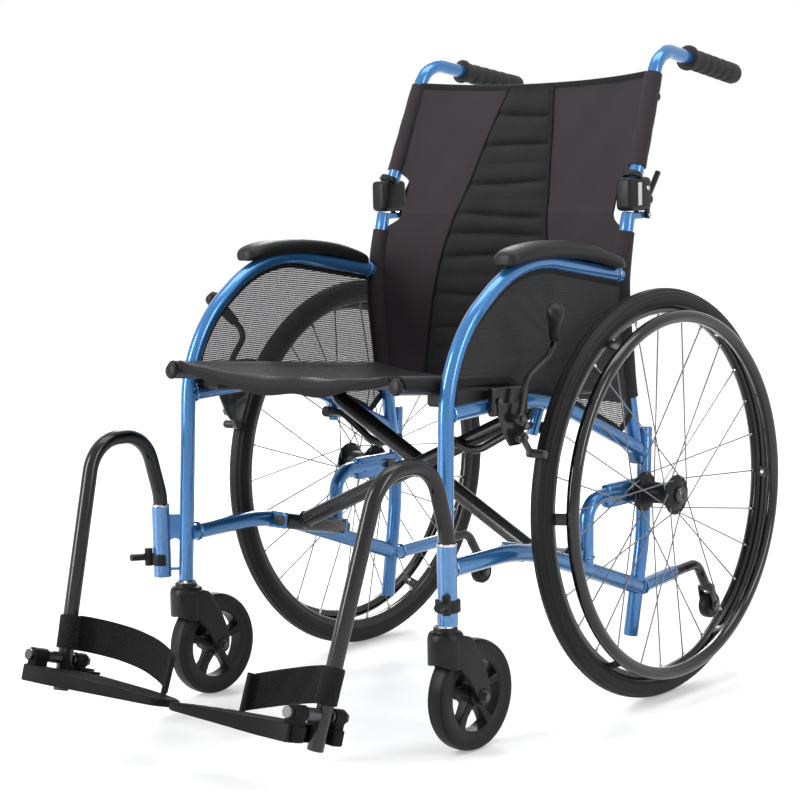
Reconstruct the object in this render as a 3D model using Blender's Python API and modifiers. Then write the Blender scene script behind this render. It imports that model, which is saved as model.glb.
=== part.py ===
"""A lightweight folding wheelchair, in metres. The origin lies on the floor under the middle of its length.

+Z is up, the chair faces -Y, and +X is the sitter's left side.
Each function makes one sub-part for one side: side is 1 for the left and -1 for the right.
Every Y below is counted from the rear axle; main() then moves the whole chair back by AXLE_Y.
"""

import math

import bmesh
import bpy
from mathutils import Matrix, Vector

CLEARANCE = 0.0003
ROD_SIDES = 10
AXLE_Y = 0.2122

# Rear wheels
WHEEL_RADIUS = 0.305
TYRE_RADIUS = 0.016
WHEEL_X = 0.298
RIM_WIDTH = 0.022
RIM_DEPTH = 0.016
HUB_RADIUS = 0.016
HUB_FLANGE_RADIUS = 0.030
HUB_LENGTH = 0.066
SPOKE_COUNT = 36
SPOKE_WIDTH = 0.0030
SPOKE_CROSSING = 0.0024
HANDRIM_RADIUS = 0.2640
HANDRIM_TUBE = 0.0093
HANDRIM_X = 0.3325
HANDRIM_TABS = 6
AXLE_RADIUS = 0.006

# Casters
CASTER_RADIUS = 0.077
CASTER_WIDTH = 0.031
CASTER_TYRE_DEPTH = 0.019
CASTER_RIM_RADIUS = CASTER_RADIUS - CASTER_TYRE_DEPTH
CASTER_SPOKES = 5
CASTER_TRAIL = 0.050
CASTER_STEM_X = 0.255
CASTER_STEM_Y = -0.449
FORK_HEADROOM = 0.025
FORK_TOP_Z = 2 * CASTER_RADIUS + FORK_HEADROOM
FORK_HOUSING_RADIUS = 0.024
FORK_BLADE = 0.005

# Side frames
FRAME_X = 0.250
TUBE = 0.011
LOWER_TUBE = 0.0125
UPRIGHT_FOOT_Z = FORK_TOP_Z + 0.005
ARM_TOP_Z = 0.670
ARM_BEND = 0.20
SEAT_RAIL_Z = 0.473
LOWER_RAIL_Z = 0.258
CANE_X = 0.243
HINGE_Z = 0.722

# Cross brace
PIVOT_X = 0.2225
PIVOT_Y = -0.218
PIVOT_Z = 0.240
BRACE_TILT = math.radians(12.25)
BRACE_RISE = 0.1064
BRACE_TUBE = 0.0125
BRACE_OFFSET = 0.014
SEAT_TUBE_X = 0.218
SEAT_FRONT_Y = -0.499
SEAT_FRONT_Z = 0.506
SEAT_REAR_Y = -0.045
SEAT_REAR_Z = 0.465
PIVOT_BOLT = 0.006
LINK_RADIUS = 0.0055
LINK_GAP = 0.0195

# Footrests
SOCKET_X = 0.280
SOCKET_Y = -0.473
SOCKET_BOTTOM_Z = UPRIGHT_FOOT_Z + 0.006
SOCKET_TOP_Z = 0.298
SOCKET_RADIUS = 0.0135
FOOT_HINGE_X = 0.2526
FOOT_HINGE_Y = -0.6884
FOOT_HINGE_Z = 0.110
PLATE_THICK = 0.024
PLATE_TIP_THICK = 0.0105
PLATE_SLOPE = math.radians(2.2)

# Soft parts
SEAT_THICK = 0.004
BACK_THICK = 0.012
BACK_BOTTOM_Z = 0.442
BACK_TOP_Z = 0.925
BACK_BOW = 0.026
PAD_WIDTH = 0.046
PAD_THICK = 0.026

BLUE = ("blue_lacquer", (0.050, 0.205, 0.560), 0.30, 0.55)
BLACK = ("black_plastic", (0.018, 0.018, 0.020), 0.45, 0.0)
RUBBER = ("black_rubber", (0.022, 0.022, 0.022), 0.75, 0.0)
PAINT = ("black_paint", (0.015, 0.015, 0.016), 0.32, 0.0)
STEEL = ("bright_steel", (0.700, 0.700, 0.710), 0.25, 1.0)
FABRIC = ("black_nylon", (0.022, 0.022, 0.026), 0.85, 0.0)
PLASTIC = ("dark_plastic", (0.035, 0.035, 0.038), 0.55, 0.0)


def clear_scene():
    for obj in list(bpy.data.objects):
        bpy.data.objects.remove(obj, do_unlink=True)


clear_scene()
PARTS = bpy.data.collections.new("folding_wheelchair")
CUTTERS = bpy.data.collections.new("cutters")
bpy.context.scene.collection.children.link(PARTS)
bpy.context.scene.collection.children.link(CUTTERS)


def material(finish):
    """The material of this finish, made the first time it is asked for."""
    name, colour, roughness, metallic = finish
    found = bpy.data.materials.get(name)
    if found:
        return found
    made = bpy.data.materials.new(name)
    made.use_nodes = True
    shader = made.node_tree.nodes["Principled BSDF"]
    shader.inputs["Base Color"].default_value = (*colour, 1.0)
    shader.inputs["Roughness"].default_value = roughness
    shader.inputs["Metallic"].default_value = metallic
    made.diffuse_color = (*colour, 1.0)
    return made


def name_of(part, side):
    return part + ("_left" if side > 0 else "_right")


def add_object(name, data, helper=False):
    obj = bpy.data.objects.new(name, data)
    (CUTTERS if helper else PARTS).objects.link(obj)
    if helper:
        obj.hide_render = True
        obj.display_type = "WIRE"
    return obj


def mesh_object(name, form, helper=True):
    """An object from a bmesh, with its faces turned outwards."""
    bmesh.ops.recalc_face_normals(form, faces=form.faces)
    mesh = bpy.data.meshes.new(name)
    form.to_mesh(mesh)
    form.free()
    return add_object(name, mesh, helper)


def axis_matrix(start, end):
    """Stands local Z along start to end, with its origin at start."""
    along = Vector(end) - Vector(start)
    return Matrix.Translation(start) @ along.to_track_quat("Z", "Y").to_matrix().to_4x4()


def bore_radius(radius, sides=ROD_SIDES):
    """The corner radius of a bore with this many sides, whose flats clear a round bar of this radius."""
    return (radius + CLEARANCE) / math.cos(math.pi / sides)


def snug_radius(radius, sides):
    """The corner radius of a bore that follows a bar with the same sides, one clearance away from it."""
    return radius + CLEARANCE / math.cos(math.pi / sides)


def rod(name, start, end, radius, end_radius=None, sides=ROD_SIDES, helper=True):
    """A cylinder or cone from start to end."""
    form = bmesh.new()
    length = (Vector(end) - Vector(start)).length
    place = axis_matrix(start, end) @ Matrix.Translation((0, 0, length / 2))
    tip = radius if end_radius is None else end_radius
    bmesh.ops.create_cone(
        form, cap_ends=True, segments=sides, radius1=radius, radius2=tip, depth=length, matrix=place
    )
    return mesh_object(name, form, helper)


def block(name, centre, size, turn=None, bevel=0.0, helper=True):
    """A box, turned by a matrix about its centre, with its edges rounded where bevel is set."""
    form = bmesh.new()
    place = Matrix.Translation(centre) @ (turn or Matrix()) @ Matrix.Diagonal((*size, 1.0))
    bmesh.ops.create_cube(form, size=1.0, matrix=place)
    if bevel:
        bmesh.ops.bevel(form, geom=form.edges, offset=bevel, segments=1, affect="EDGES")
    return mesh_object(name, form, helper)


def bent_path(corners, bend, steps=6):
    """The centre line of a bent tube: straight runs between the corners, joined by arcs.

    bend is one radius for all corners, or a list with one for each inner corner.
    """
    corners = [Vector(point) for point in corners]
    bends = bend if isinstance(bend, (list, tuple)) else [bend] * (len(corners) - 2)
    path = [corners[0]]
    for before, corner, after, radius in zip(corners, corners[1:], corners[2:], bends):
        inward = (before - corner).normalized()
        onward = (after - corner).normalized()
        half = inward.angle(onward) / 2
        run = radius / math.tan(half)
        centre = corner + (inward + onward).normalized() * (radius / math.sin(half))
        first = corner + inward * run - centre
        last = corner + onward * run - centre
        sweep = first.angle(last)
        for step in range(steps + 1):
            share = step / steps
            near = math.sin((1 - share) * sweep) / math.sin(sweep)
            far = math.sin(share * sweep) / math.sin(sweep)
            path.append(centre + first * near + last * far)
    path.append(corners[-1])
    return path


def tube(name, path, radius, sides=8, closed=False, helper=True):
    """A round bar along a path: a bevelled curve, made a mesh so that it can be joined and bored."""
    curve = bpy.data.curves.new(name, "CURVE")
    curve.dimensions = "3D"
    curve.bevel_depth = radius
    curve.bevel_resolution = sides // 2 - 2
    curve.use_fill_caps = not closed
    spline = curve.splines.new("POLY")
    spline.points.add(len(path) - 1)
    for point, place in zip(spline.points, path):
        point.co = (*place, 1.0)
    spline.use_cyclic_u = closed
    source = bpy.data.objects.new(name + "_curve", curve)
    bpy.context.scene.collection.objects.link(source)
    bpy.context.view_layer.update()
    solid = source.evaluated_get(bpy.context.evaluated_depsgraph_get())
    form = bmesh.new()
    form.from_mesh(bpy.data.meshes.new_from_object(solid))
    bpy.data.objects.remove(source, do_unlink=True)
    bmesh.ops.remove_doubles(form, verts=form.verts, dist=0.00002)
    return mesh_object(name, form, helper)


def turned(name, profile, start, end, steps=32, helper=True):
    """A turned solid: a closed outline of (radius, height) pairs, spun about the line from start to end."""
    form = bmesh.new()
    points = [form.verts.new((radius, 0.0, height)) for radius, height in profile]
    for first, second in zip(points, points[1:] + points[:1]):
        if first.co.x > 0 or second.co.x > 0:
            form.edges.new((first, second))
    bmesh.ops.spin(
        form,
        geom=list(form.verts) + list(form.edges),
        axis=(0, 0, 1),
        cent=(0, 0, 0),
        steps=steps,
        angle=2 * math.pi,
        use_merge=True,
    )
    bmesh.ops.remove_doubles(form, verts=form.verts, dist=0.00001)
    bmesh.ops.transform(form, matrix=axis_matrix(start, end), verts=form.verts)
    return mesh_object(name, form, helper)


def extruded(name, outline, thickness, place, helper=True):
    """A flat outline of (x, y) pairs, thickened about its own plane and then placed by a matrix."""
    form = bmesh.new()
    corners = [form.verts.new((x, y, -thickness / 2)) for x, y in outline]
    face = form.faces.new(corners)
    lifted = bmesh.ops.extrude_face_region(form, geom=[face])
    moved = [item for item in lifted["geom"] if isinstance(item, bmesh.types.BMVert)]
    bmesh.ops.translate(form, vec=(0, 0, thickness), verts=moved)
    bmesh.ops.transform(form, matrix=place, verts=form.verts)
    return mesh_object(name, form, helper)


def built(name, finish, pieces, holes=(), pivot=None):
    """One sub-part: the pieces united, the holes bored, with its origin at its pivot."""
    base = pieces[0]
    CUTTERS.objects.unlink(base)
    PARTS.objects.link(base)
    base.hide_render = False
    base.display_type = "TEXTURED"
    base.name = name
    base.data.name = name
    base.data.materials.append(material(finish))
    for operation, others in (("UNION", pieces[1:]), ("DIFFERENCE", holes)):
        for index, other in enumerate(others):
            change = base.modifiers.new(f"{operation.lower()}_{index}", "BOOLEAN")
            change.operation = operation
            change.solver = "EXACT"
            change.object = other
            other.name = f"{name}_{operation.lower()}_{index}"
    if pivot is not None:
        base.data.transform(Matrix.Translation(-Vector(pivot)))
        base.location = pivot
    base.data.shade_smooth()
    base.data.set_sharp_from_angle(angle=math.radians(35))
    return base


def across(side, x, y, z):
    """A point given for the left side, on this side."""
    return Vector((side * x, y, z))


BRACE_AXIS = Vector((0, math.cos(BRACE_TILT), -math.sin(BRACE_TILT)))
BRACE_UP = Vector((0, math.sin(BRACE_TILT), math.cos(BRACE_TILT)))


def brace_point(x, up, along):
    """A point of the brace: across, up in its plane, and along its tilted pivot axis."""
    return Vector((x, PIVOT_Y, PIVOT_Z)) + BRACE_UP * up + BRACE_AXIS * along


HINGE_AXIS_Y = 0.041
HINGE_AXIS_Z = 0.716
HINGE_PIN = 0.003
LUG_WIDTH = 0.014
LOWER_CANE = [
    (FRAME_X - 0.004, 0.017, WHEEL_RADIUS + 0.040),
    (CANE_X, 0.000, 0.455),
    (CANE_X, -0.021, 0.620),
    (CANE_X, 0.004, HINGE_Z - 0.0016),
]
TIP_TUBE = [(0.246, 0.012, 0.152), (0.238, 0.124, 0.157)]
TIP_ARM = 0.008
STEM_RADIUS = 0.006
LINK_PIN = 0.003
STUB_GAP = 0.0165


def tip_line(side, share):
    """A point on the centre line of the rear tip tube, share 1 being its open end."""
    return across(side, *TIP_TUBE[0]).lerp(across(side, *TIP_TUBE[1]), share)


SLEEVE_FRONT = -0.052
SLEEVE_REAR = 0.080
LUG_THICK = 0.007
LINK_PIVOT_UP = 0.1795
LINK_PIVOT_X = 0.238


def link_offset(side):
    """How far along the pivot axis the stabiliser link of this side lies, beside its own brace bar."""
    return -side * (BRACE_OFFSET + LINK_GAP)


def arm_path(side):
    """The upright, bent over into the armrest tube."""
    return bent_path(
        [
            across(side, CASTER_STEM_X, CASTER_STEM_Y, UPRIGHT_FOOT_Z),
            across(side, FRAME_X, -0.431, ARM_TOP_Z - 0.120),
            across(side, FRAME_X, -0.269, ARM_TOP_Z),
            across(side, 0.246, -0.026, ARM_TOP_Z - 0.041),
        ],
        ARM_BEND,
        6,
    )


def seat_rail_path(side):
    return bent_path(
        [
            across(side, FRAME_X, -0.436, SEAT_RAIL_Z - 0.009),
            across(side, FRAME_X, -0.225, SEAT_RAIL_Z),
            across(side, FRAME_X, 0.024, WHEEL_RADIUS + 0.057),
        ],
        0.40,
        5,
    )


def lower_cane_path(side):
    return bent_path([across(side, *point) for point in LOWER_CANE], 0.30, 4)


def side_frame(side):
    """The welded tube frame of one side, from the caster socket to the back hinge."""
    upright = tube("upright", arm_path(side), TUBE)
    seat_rail = tube("seat_rail", seat_rail_path(side), TUBE, 8)
    lower_rail = tube(
        "lower_rail",
        bent_path(
            [
                across(side, FRAME_X, -0.443, LOWER_RAIL_Z - 0.003),
                across(side, FRAME_X, -0.270, LOWER_RAIL_Z),
                across(side, FRAME_X, 0.016, 0.154),
            ],
            0.35,
            5,
        ),
        LOWER_TUBE,
        8,
    )
    axle_tube = tube(
        "axle_tube",
        bent_path(
            [
                across(side, FRAME_X, -0.121, 0.205),
                across(side, FRAME_X, -0.119, WHEEL_RADIUS + 0.002),
                across(side, FRAME_X, 0.030, WHEEL_RADIUS),
            ],
            0.036,
        ),
        TUBE,
    )
    axle_plate = block(
        "axle_plate",
        across(side, FRAME_X, -0.024, WHEEL_RADIUS),
        (0.018, 0.100, 0.036),
        bevel=0.006,
    )
    post = tube(
        "post",
        bent_path(
            [
                across(side, 0.246, -0.004, 0.082),
                across(side, FRAME_X, 0.024, WHEEL_RADIUS - 0.075),
                across(side, FRAME_X, 0.033, WHEEL_RADIUS + 0.093),
            ],
            0.35,
            4,
        ),
        TUBE,
    )
    cane = tube("cane", lower_cane_path(side), TUBE)
    tip_tube = tube("tip_tube", [across(side, *point) for point in TIP_TUBE], TUBE, 8)
    socket = rod(
        "socket",
        across(side, SOCKET_X, SOCKET_Y, SOCKET_BOTTOM_Z),
        across(side, SOCKET_X, SOCKET_Y, SOCKET_TOP_Z),
        SOCKET_RADIUS,
    )
    gusset_turn = math.atan2(SOCKET_Y + 0.445, side * (SOCKET_X - 0.251))
    gusset = extruded(
        "gusset",
        [
            (-0.020, -0.046),
            (-0.012, -0.046),
            (-0.010, -0.012),
            (0.000, 0.004),
            (0.010, -0.012),
            (0.012, -0.046),
            (0.020, -0.046),
            (0.020, 0.036),
            (-0.020, 0.036),
        ],
        0.005,
        Matrix.Translation(across(side, 0.2655, -0.459, 0.246))
        @ Matrix.Rotation(gusset_turn, 4, "Z")
        @ Matrix.Rotation(math.radians(90), 4, "X"),
    )
    lugs = []
    for name, along in (
        ("front_lug", SLEEVE_FRONT - CLEARANCE - LUG_THICK / 2),
        ("rear_lug", SLEEVE_REAR + CLEARANCE + LUG_THICK / 2),
    ):
        centre = brace_point(side * (PIVOT_X + 0.011), 0.0, along)
        turn = Matrix.Rotation(-BRACE_TILT, 4, "X")
        lugs.append(block(name, centre, (0.042, LUG_THICK, 0.026), turn, bevel=0.002))
    offset = link_offset(side) - side * STUB_GAP
    stub_top = brace_point(side * (FRAME_X - 0.004), LINK_PIVOT_UP + 0.031, offset)
    stub_foot = brace_point(side * LINK_PIVOT_X, LINK_PIVOT_UP - 0.012, offset)
    stub = tube("link_stub", [stub_top, stub_foot], 0.008, 8)
    hinge_axis = across(side, CANE_X, HINGE_AXIS_Y, HINGE_AXIS_Z)
    half = Vector((LUG_WIDTH / 2, 0, 0))
    lug_middle = across(side, CANE_X, HINGE_AXIS_Y / 2, HINGE_AXIS_Z)
    lugs.append(block("hinge_lug", lug_middle, (LUG_WIDTH, HINGE_AXIS_Y, 0.009)))
    lugs.append(rod("hinge_knuckle", hinge_axis - half, hinge_axis + half, 0.0055))
    holes = [
        rod("hinge_bore", hinge_axis - 2 * half, hinge_axis + 2 * half, bore_radius(HINGE_PIN)),
        rod(
            "socket_bore",
            across(side, SOCKET_X, SOCKET_Y, SOCKET_BOTTOM_Z + 0.012),
            across(side, SOCKET_X, SOCKET_Y, SOCKET_TOP_Z + 0.010),
            bore_radius(TUBE),
        ),
        rod(
            "stem_bore",
            across(side, CASTER_STEM_X, CASTER_STEM_Y, UPRIGHT_FOOT_Z - 0.010),
            across(side, CASTER_STEM_X, CASTER_STEM_Y, UPRIGHT_FOOT_Z + 0.032),
            bore_radius(STEM_RADIUS),
        ),
        rod("tip_bore", tip_line(side, 0.50), tip_line(side, 1.30), bore_radius(TIP_ARM)),
        rod(
            "lug_bore",
            brace_point(side * PIVOT_X, 0, SLEEVE_FRONT - 0.030),
            brace_point(side * PIVOT_X, 0, SLEEVE_REAR + 0.030),
            bore_radius(PIVOT_BOLT),
        ),
    ]
    for index, y in enumerate((-0.058, -0.029, 0.0)):
        start = across(side, FRAME_X - 0.030, y, WHEEL_RADIUS)
        end = across(side, FRAME_X + 0.030, y, WHEEL_RADIUS)
        holes.append(rod(f"axle_hole_{index}", start, end, bore_radius(AXLE_RADIUS)))
    holes.append(
        rod(
            "link_hole",
            brace_point(side * LINK_PIVOT_X, LINK_PIVOT_UP, offset - 0.02),
            brace_point(side * LINK_PIVOT_X, LINK_PIVOT_UP, offset + 0.02),
            bore_radius(LINK_PIN),
        )
    )
    pieces = [upright, seat_rail, lower_rail, axle_tube, axle_plate, post, cane, tip_tube]
    return built(name_of("side_frame", side), BLUE, pieces + [socket, gusset, stub] + lugs, holes)


def armrest_pad(side):
    """The long padded armrest, screwed on top of the arc."""
    pad = bmesh.new()
    stations = (
        (-0.308, -0.002, 0.30),
        (-0.290, 0.002, 0.85),
        (-0.215, 0.006, 1.0),
        (-0.120, -0.002, 1.0),
        (-0.056, -0.019, 0.85),
        (-0.040, -0.023, 0.30),
    )
    rings = []
    for y, lift, share in stations:
        z = ARM_TOP_Z + lift
        ring = []
        for step in range(12):
            turn = 2 * math.pi * step / 12
            wide = math.copysign(abs(math.cos(turn)) ** 0.6, math.cos(turn)) * PAD_WIDTH / 2
            high = math.copysign(abs(math.sin(turn)) ** 0.6, math.sin(turn)) * PAD_THICK / 2
            ring.append(pad.verts.new((side * (FRAME_X + 0.003) + wide * (0.5 + share / 2), y, z + high * share)))
        rings.append(ring)
    for before, after in zip(rings, rings[1:]):
        for step in range(12):
            ahead = (step + 1) % 12
            pad.faces.new((before[step], before[ahead], after[ahead], after[step]))
    pad.faces.new(rings[0])
    pad.faces.new(rings[-1])
    solid = mesh_object("pad", pad)
    groove = tube("pad_groove", arm_path(side), snug_radius(TUBE, 8))
    return built(name_of("armrest_pad", side), BLACK, [solid], [groove])


RIM_OUTER = WHEEL_RADIUS - TYRE_RADIUS * 1.35
RIM_INNER = RIM_OUTER - RIM_DEPTH
HUB_INNER_X = 0.266
HUB_OUTER_X = HUB_INNER_X + HUB_LENGTH


def ring(name, x, side, radius, section, turns, sides):
    """A round ring about the wheel's axle, at this distance from the middle of the chair."""
    path = []
    for step in range(turns):
        turn = 2 * math.pi * step / turns
        y = radius * math.sin(turn)
        path.append(across(side, x, y, WHEEL_RADIUS + radius * math.cos(turn)))
    return tube(name, path, section, sides, closed=True)


def rear_wheel(side):
    """Rim, spokes and hub of a rear wheel, with the handrim's standoffs."""
    axle = across(side, 0.0, 0.0, WHEEL_RADIUS)
    outward = across(side, 1.0, 0.0, WHEEL_RADIUS)
    half = RIM_WIDTH / 2
    rim = turned(
        "rim",
        [
            (RIM_OUTER, WHEEL_X - half),
            (RIM_OUTER, WHEEL_X + half),
            (RIM_OUTER - 0.010, WHEEL_X + half),
            (RIM_INNER, WHEEL_X),
            (RIM_OUTER - 0.010, WHEEL_X - half),
        ],
        axle,
        outward,
        SPOKE_COUNT,
    )
    hub = turned(
        "hub",
        [
            (0.0, HUB_INNER_X),
            (HUB_FLANGE_RADIUS - 0.012, HUB_INNER_X),
            (HUB_FLANGE_RADIUS, HUB_INNER_X + 0.004),
            (HUB_FLANGE_RADIUS, HUB_INNER_X + 0.008),
            (HUB_RADIUS, HUB_INNER_X + 0.014),
            (HUB_RADIUS, HUB_OUTER_X - 0.014),
            (HUB_FLANGE_RADIUS, HUB_OUTER_X - 0.008),
            (HUB_FLANGE_RADIUS, HUB_OUTER_X - 0.004),
            (HUB_FLANGE_RADIUS - 0.012, HUB_OUTER_X),
            (0.0, HUB_OUTER_X),
        ],
        axle,
        outward,
        12,
    )
    pieces = [rim, hub]
    for index in range(SPOKE_COUNT):
        outer_flange = index % 2
        forward = index % 4 < 2
        flange_x = HUB_OUTER_X - 0.006 if outer_flange else HUB_INNER_X + 0.006
        flange_x += SPOKE_CROSSING if forward else -SPOKE_CROSSING
        lean = math.radians(62 if forward else -62)
        turn = 2 * math.pi * index / SPOKE_COUNT
        root_turn = turn + lean
        root = HUB_FLANGE_RADIUS - 0.004
        reach = RIM_INNER + 0.005
        start = across(side, flange_x, root * math.sin(root_turn), WHEEL_RADIUS + root * math.cos(root_turn))
        end = across(side, WHEEL_X, reach * math.sin(turn), WHEEL_RADIUS + reach * math.cos(turn))
        pieces.append(rod("spoke", start, end, SPOKE_WIDTH / 2, sides=3))
    for index in range(HANDRIM_TABS):
        turn = 2 * math.pi * (index + 0.5) / HANDRIM_TABS
        low = RIM_INNER + 0.004
        high = HANDRIM_RADIUS
        start = across(side, WHEEL_X + 0.004, low * math.sin(turn), WHEEL_RADIUS + low * math.cos(turn))
        stop_x = HANDRIM_X - HANDRIM_TUBE - CLEARANCE
        end = across(side, stop_x, high * math.sin(turn), WHEEL_RADIUS + high * math.cos(turn))
        pieces.append(rod("standoff", start, end, 0.005, sides=4))
    bore = rod(
        "axle_bore",
        across(side, HUB_INNER_X - 0.01, 0, WHEEL_RADIUS),
        across(side, HUB_OUTER_X + 0.01, 0, WHEEL_RADIUS),
        bore_radius(AXLE_RADIUS),
    )
    return built(name_of("rear_wheel", side), PAINT, pieces, [bore], across(side, WHEEL_X, 0, WHEEL_RADIUS))


def rear_tyre(side):
    """The solid tyre, hollow over the rim so that it seats on it."""
    axle = across(side, 0.0, 0.0, WHEEL_RADIUS)
    outward = across(side, 1.0, 0.0, WHEEL_RADIUS)
    middle = WHEEL_RADIUS - TYRE_RADIUS
    profile = []
    for step in range(7):
        turn = math.radians(-126 + 252 * step / 6)
        profile.append((middle + TYRE_RADIUS * math.cos(turn), WHEEL_X + TYRE_RADIUS * math.sin(turn)))
    seat = snug_radius(RIM_OUTER, SPOKE_COUNT)
    profile.append((seat, profile[-1][1] - 0.001))
    profile.append((seat, profile[0][1] + 0.001))
    tyre = turned("tyre", profile, axle, outward, SPOKE_COUNT)
    return built(name_of("rear_tyre", side), RUBBER, [tyre], (), across(side, WHEEL_X, 0, WHEEL_RADIUS))


def handrim(side):
    hoop = ring("hoop", HANDRIM_X, side, HANDRIM_RADIUS, HANDRIM_TUBE, 36, 8)
    return built(name_of("handrim", side), PAINT, [hoop], (), across(side, HANDRIM_X, 0, WHEEL_RADIUS))


def rear_axle(side):
    """The quick-release axle: a pin through the hub and the frame, with a head outside and a nut inside."""
    pin = rod(
        "pin",
        across(side, FRAME_X - TUBE - 0.006, 0, WHEEL_RADIUS),
        across(side, HUB_OUTER_X + 0.004, 0, WHEEL_RADIUS),
        AXLE_RADIUS,
    )
    head = turned(
        "head",
        [(0, 0), (0.011, 0), (0.012, 0.002), (0.010, 0.006), (0.006, 0.010), (0, 0.0105)],
        across(side, HUB_OUTER_X + CLEARANCE, 0, WHEEL_RADIUS),
        across(side, 1, 0, WHEEL_RADIUS),
        20,
    )
    inner = FRAME_X - TUBE - CLEARANCE
    nut = rod(
        "nut",
        across(side, inner - 0.008, 0, WHEEL_RADIUS),
        across(side, inner, 0, WHEEL_RADIUS),
        0.0105,
        sides=6,
    )
    spacer = rod(
        "spacer",
        across(side, FRAME_X + TUBE + CLEARANCE, 0, WHEEL_RADIUS),
        across(side, HUB_INNER_X - CLEARANCE, 0, WHEEL_RADIUS),
        0.009,
    )
    return built(name_of("rear_axle", side), STEEL, [pin, head, nut, spacer])


def caster_fork(side):
    """The swivel housing, the two curved blades that trail down to the wheel, and the wheel's axle."""
    stem = Vector((side * CASTER_STEM_X, CASTER_STEM_Y, 0))
    axle_y = CASTER_STEM_Y + CASTER_TRAIL
    housing = turned(
        "housing",
        [
            (0, FORK_TOP_Z),
            (0.019, FORK_TOP_Z),
            (FORK_HOUSING_RADIUS, FORK_TOP_Z - 0.006),
            (FORK_HOUSING_RADIUS, FORK_TOP_Z - 0.014),
            (0.018, FORK_TOP_Z - 0.019),
            (0, FORK_TOP_Z - 0.019),
        ],
        stem,
        stem + Vector((0, 0, 1)),
        16,
    )
    ring_seat = UPRIGHT_FOOT_Z - 0.0010
    washer = rod("washer", stem + Vector((0, 0, FORK_TOP_Z - 0.002)), stem + Vector((0, 0, ring_seat)), 0.014)
    pin = rod(
        "stem_pin",
        stem + Vector((0, 0, FORK_TOP_Z - 0.004)),
        stem + Vector((0, 0, UPRIGHT_FOOT_Z + 0.028)),
        STEM_RADIUS,
    )
    pieces = [housing, washer, pin]
    crown = FORK_TOP_Z - 0.013
    inner = CASTER_WIDTH / 2 + 0.003
    outline = [
        (CASTER_STEM_Y - 0.017, crown),
        (CASTER_STEM_Y + 0.022, crown),
        (CASTER_STEM_Y + 0.045, crown - 0.026),
        (axle_y + 0.017, CASTER_RADIUS + 0.023),
        (axle_y + 0.014, CASTER_RADIUS - 0.006),
        (axle_y, CASTER_RADIUS - 0.013),
        (axle_y - 0.013, CASTER_RADIUS - 0.005),
        (axle_y - 0.012, CASTER_RADIUS + 0.023),
        (CASTER_STEM_Y + 0.016, crown - 0.038),
        (CASTER_STEM_Y - 0.010, crown - 0.018),
    ]
    upright_plane = Matrix.Rotation(math.radians(90), 4, "Y") @ Matrix.Rotation(math.radians(90), 4, "Z")
    for offset in (-1, 1):
        x = side * CASTER_STEM_X + offset * (inner + FORK_BLADE / 2)
        pieces.append(
            extruded("blade", outline, FORK_BLADE, Matrix.Translation((x, 0, 0)) @ upright_plane)
        )
    bridge_height = crown - (FORK_TOP_Z - 0.030)
    pieces.append(
        block(
            "bridge",
            (stem.x, CASTER_STEM_Y, crown - bridge_height / 2 + 0.002),
            (2 * (inner + FORK_BLADE) - 0.002, 0.034, bridge_height),
        )
    )
    reach = inner + FORK_BLADE + 0.003
    left_end = Vector((stem.x - reach, axle_y, CASTER_RADIUS))
    right_end = Vector((stem.x + reach, axle_y, CASTER_RADIUS))
    pieces.append(rod("caster_axle", left_end, right_end, 0.004))
    for end, inwards in ((left_end, 1), (right_end, -1)):
        pieces.append(rod("bolt_head", end, end + Vector((inwards * 0.004, 0, 0)), 0.007, sides=6))
    return built(name_of("caster_fork", side), BLACK, pieces, (), stem)


def caster_wheel(side):
    """Hub, five spokes and rim of a caster, moulded in one."""
    axle_y = CASTER_STEM_Y + CASTER_TRAIL
    centre = Vector((side * CASTER_STEM_X, axle_y, CASTER_RADIUS))
    outward = centre + Vector((1, 0, 0))
    half = CASTER_WIDTH / 2 - 0.003
    inner = CASTER_RIM_RADIUS - 0.006
    rim = turned(
        "caster_rim",
        [(inner, -half), (CASTER_RIM_RADIUS, -half), (CASTER_RIM_RADIUS, half), (inner, half)],
        centre,
        outward,
        24,
    )
    hub = rod("caster_hub", centre - Vector((half + 0.002, 0, 0)), centre + Vector((half + 0.002, 0, 0)), 0.015)
    pieces = [rim, hub]
    for index in range(CASTER_SPOKES):
        turn = 2 * math.pi * index / CASTER_SPOKES
        along = Vector((0, math.sin(turn), math.cos(turn)))
        middle = centre + along * (0.012 + inner) / 2
        spin = Matrix.Rotation(-turn, 4, "X")
        pieces.append(block("caster_spoke", middle, (0.012, 0.011, inner - 0.008), spin))
    bore = rod("caster_bore", centre - Vector((0.03, 0, 0)), centre + Vector((0.03, 0, 0)), bore_radius(0.004))
    return built(name_of("caster_wheel", side), PLASTIC, pieces, [bore], centre)


def caster_tyre(side):
    """The solid tyre of a caster, with a crowned tread."""
    centre = Vector((side * CASTER_STEM_X, CASTER_STEM_Y + CASTER_TRAIL, CASTER_RADIUS))
    outward = centre + Vector((1, 0, 0))
    half = CASTER_WIDTH / 2
    seat = bore_radius(CASTER_RIM_RADIUS, 28)
    tyre = turned(
        "solid_tyre",
        [
            (seat, -half + 0.002),
            (CASTER_RADIUS - 0.007, -half),
            (CASTER_RADIUS, -half + 0.008),
            (CASTER_RADIUS, half - 0.008),
            (CASTER_RADIUS - 0.007, half),
            (seat, half - 0.002),
        ],
        centre,
        outward,
        28,
    )
    return built(name_of("caster_tyre", side), RUBBER, [tyre], (), centre)


SEAT_DROP = (SEAT_FRONT_Z - SEAT_REAR_Z) / (SEAT_REAR_Y - SEAT_FRONT_Y)
BAR_END_UP = 0.2385
BAR_BEND_X = 0.196
LINK_END_X = 0.086
LINK_END_UP = 0.147


def seat_tube_z(y):
    """Height of a seat tube's centre line at this distance along the chair."""
    return SEAT_REAR_Z + (SEAT_REAR_Y - y) * SEAT_DROP


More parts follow.
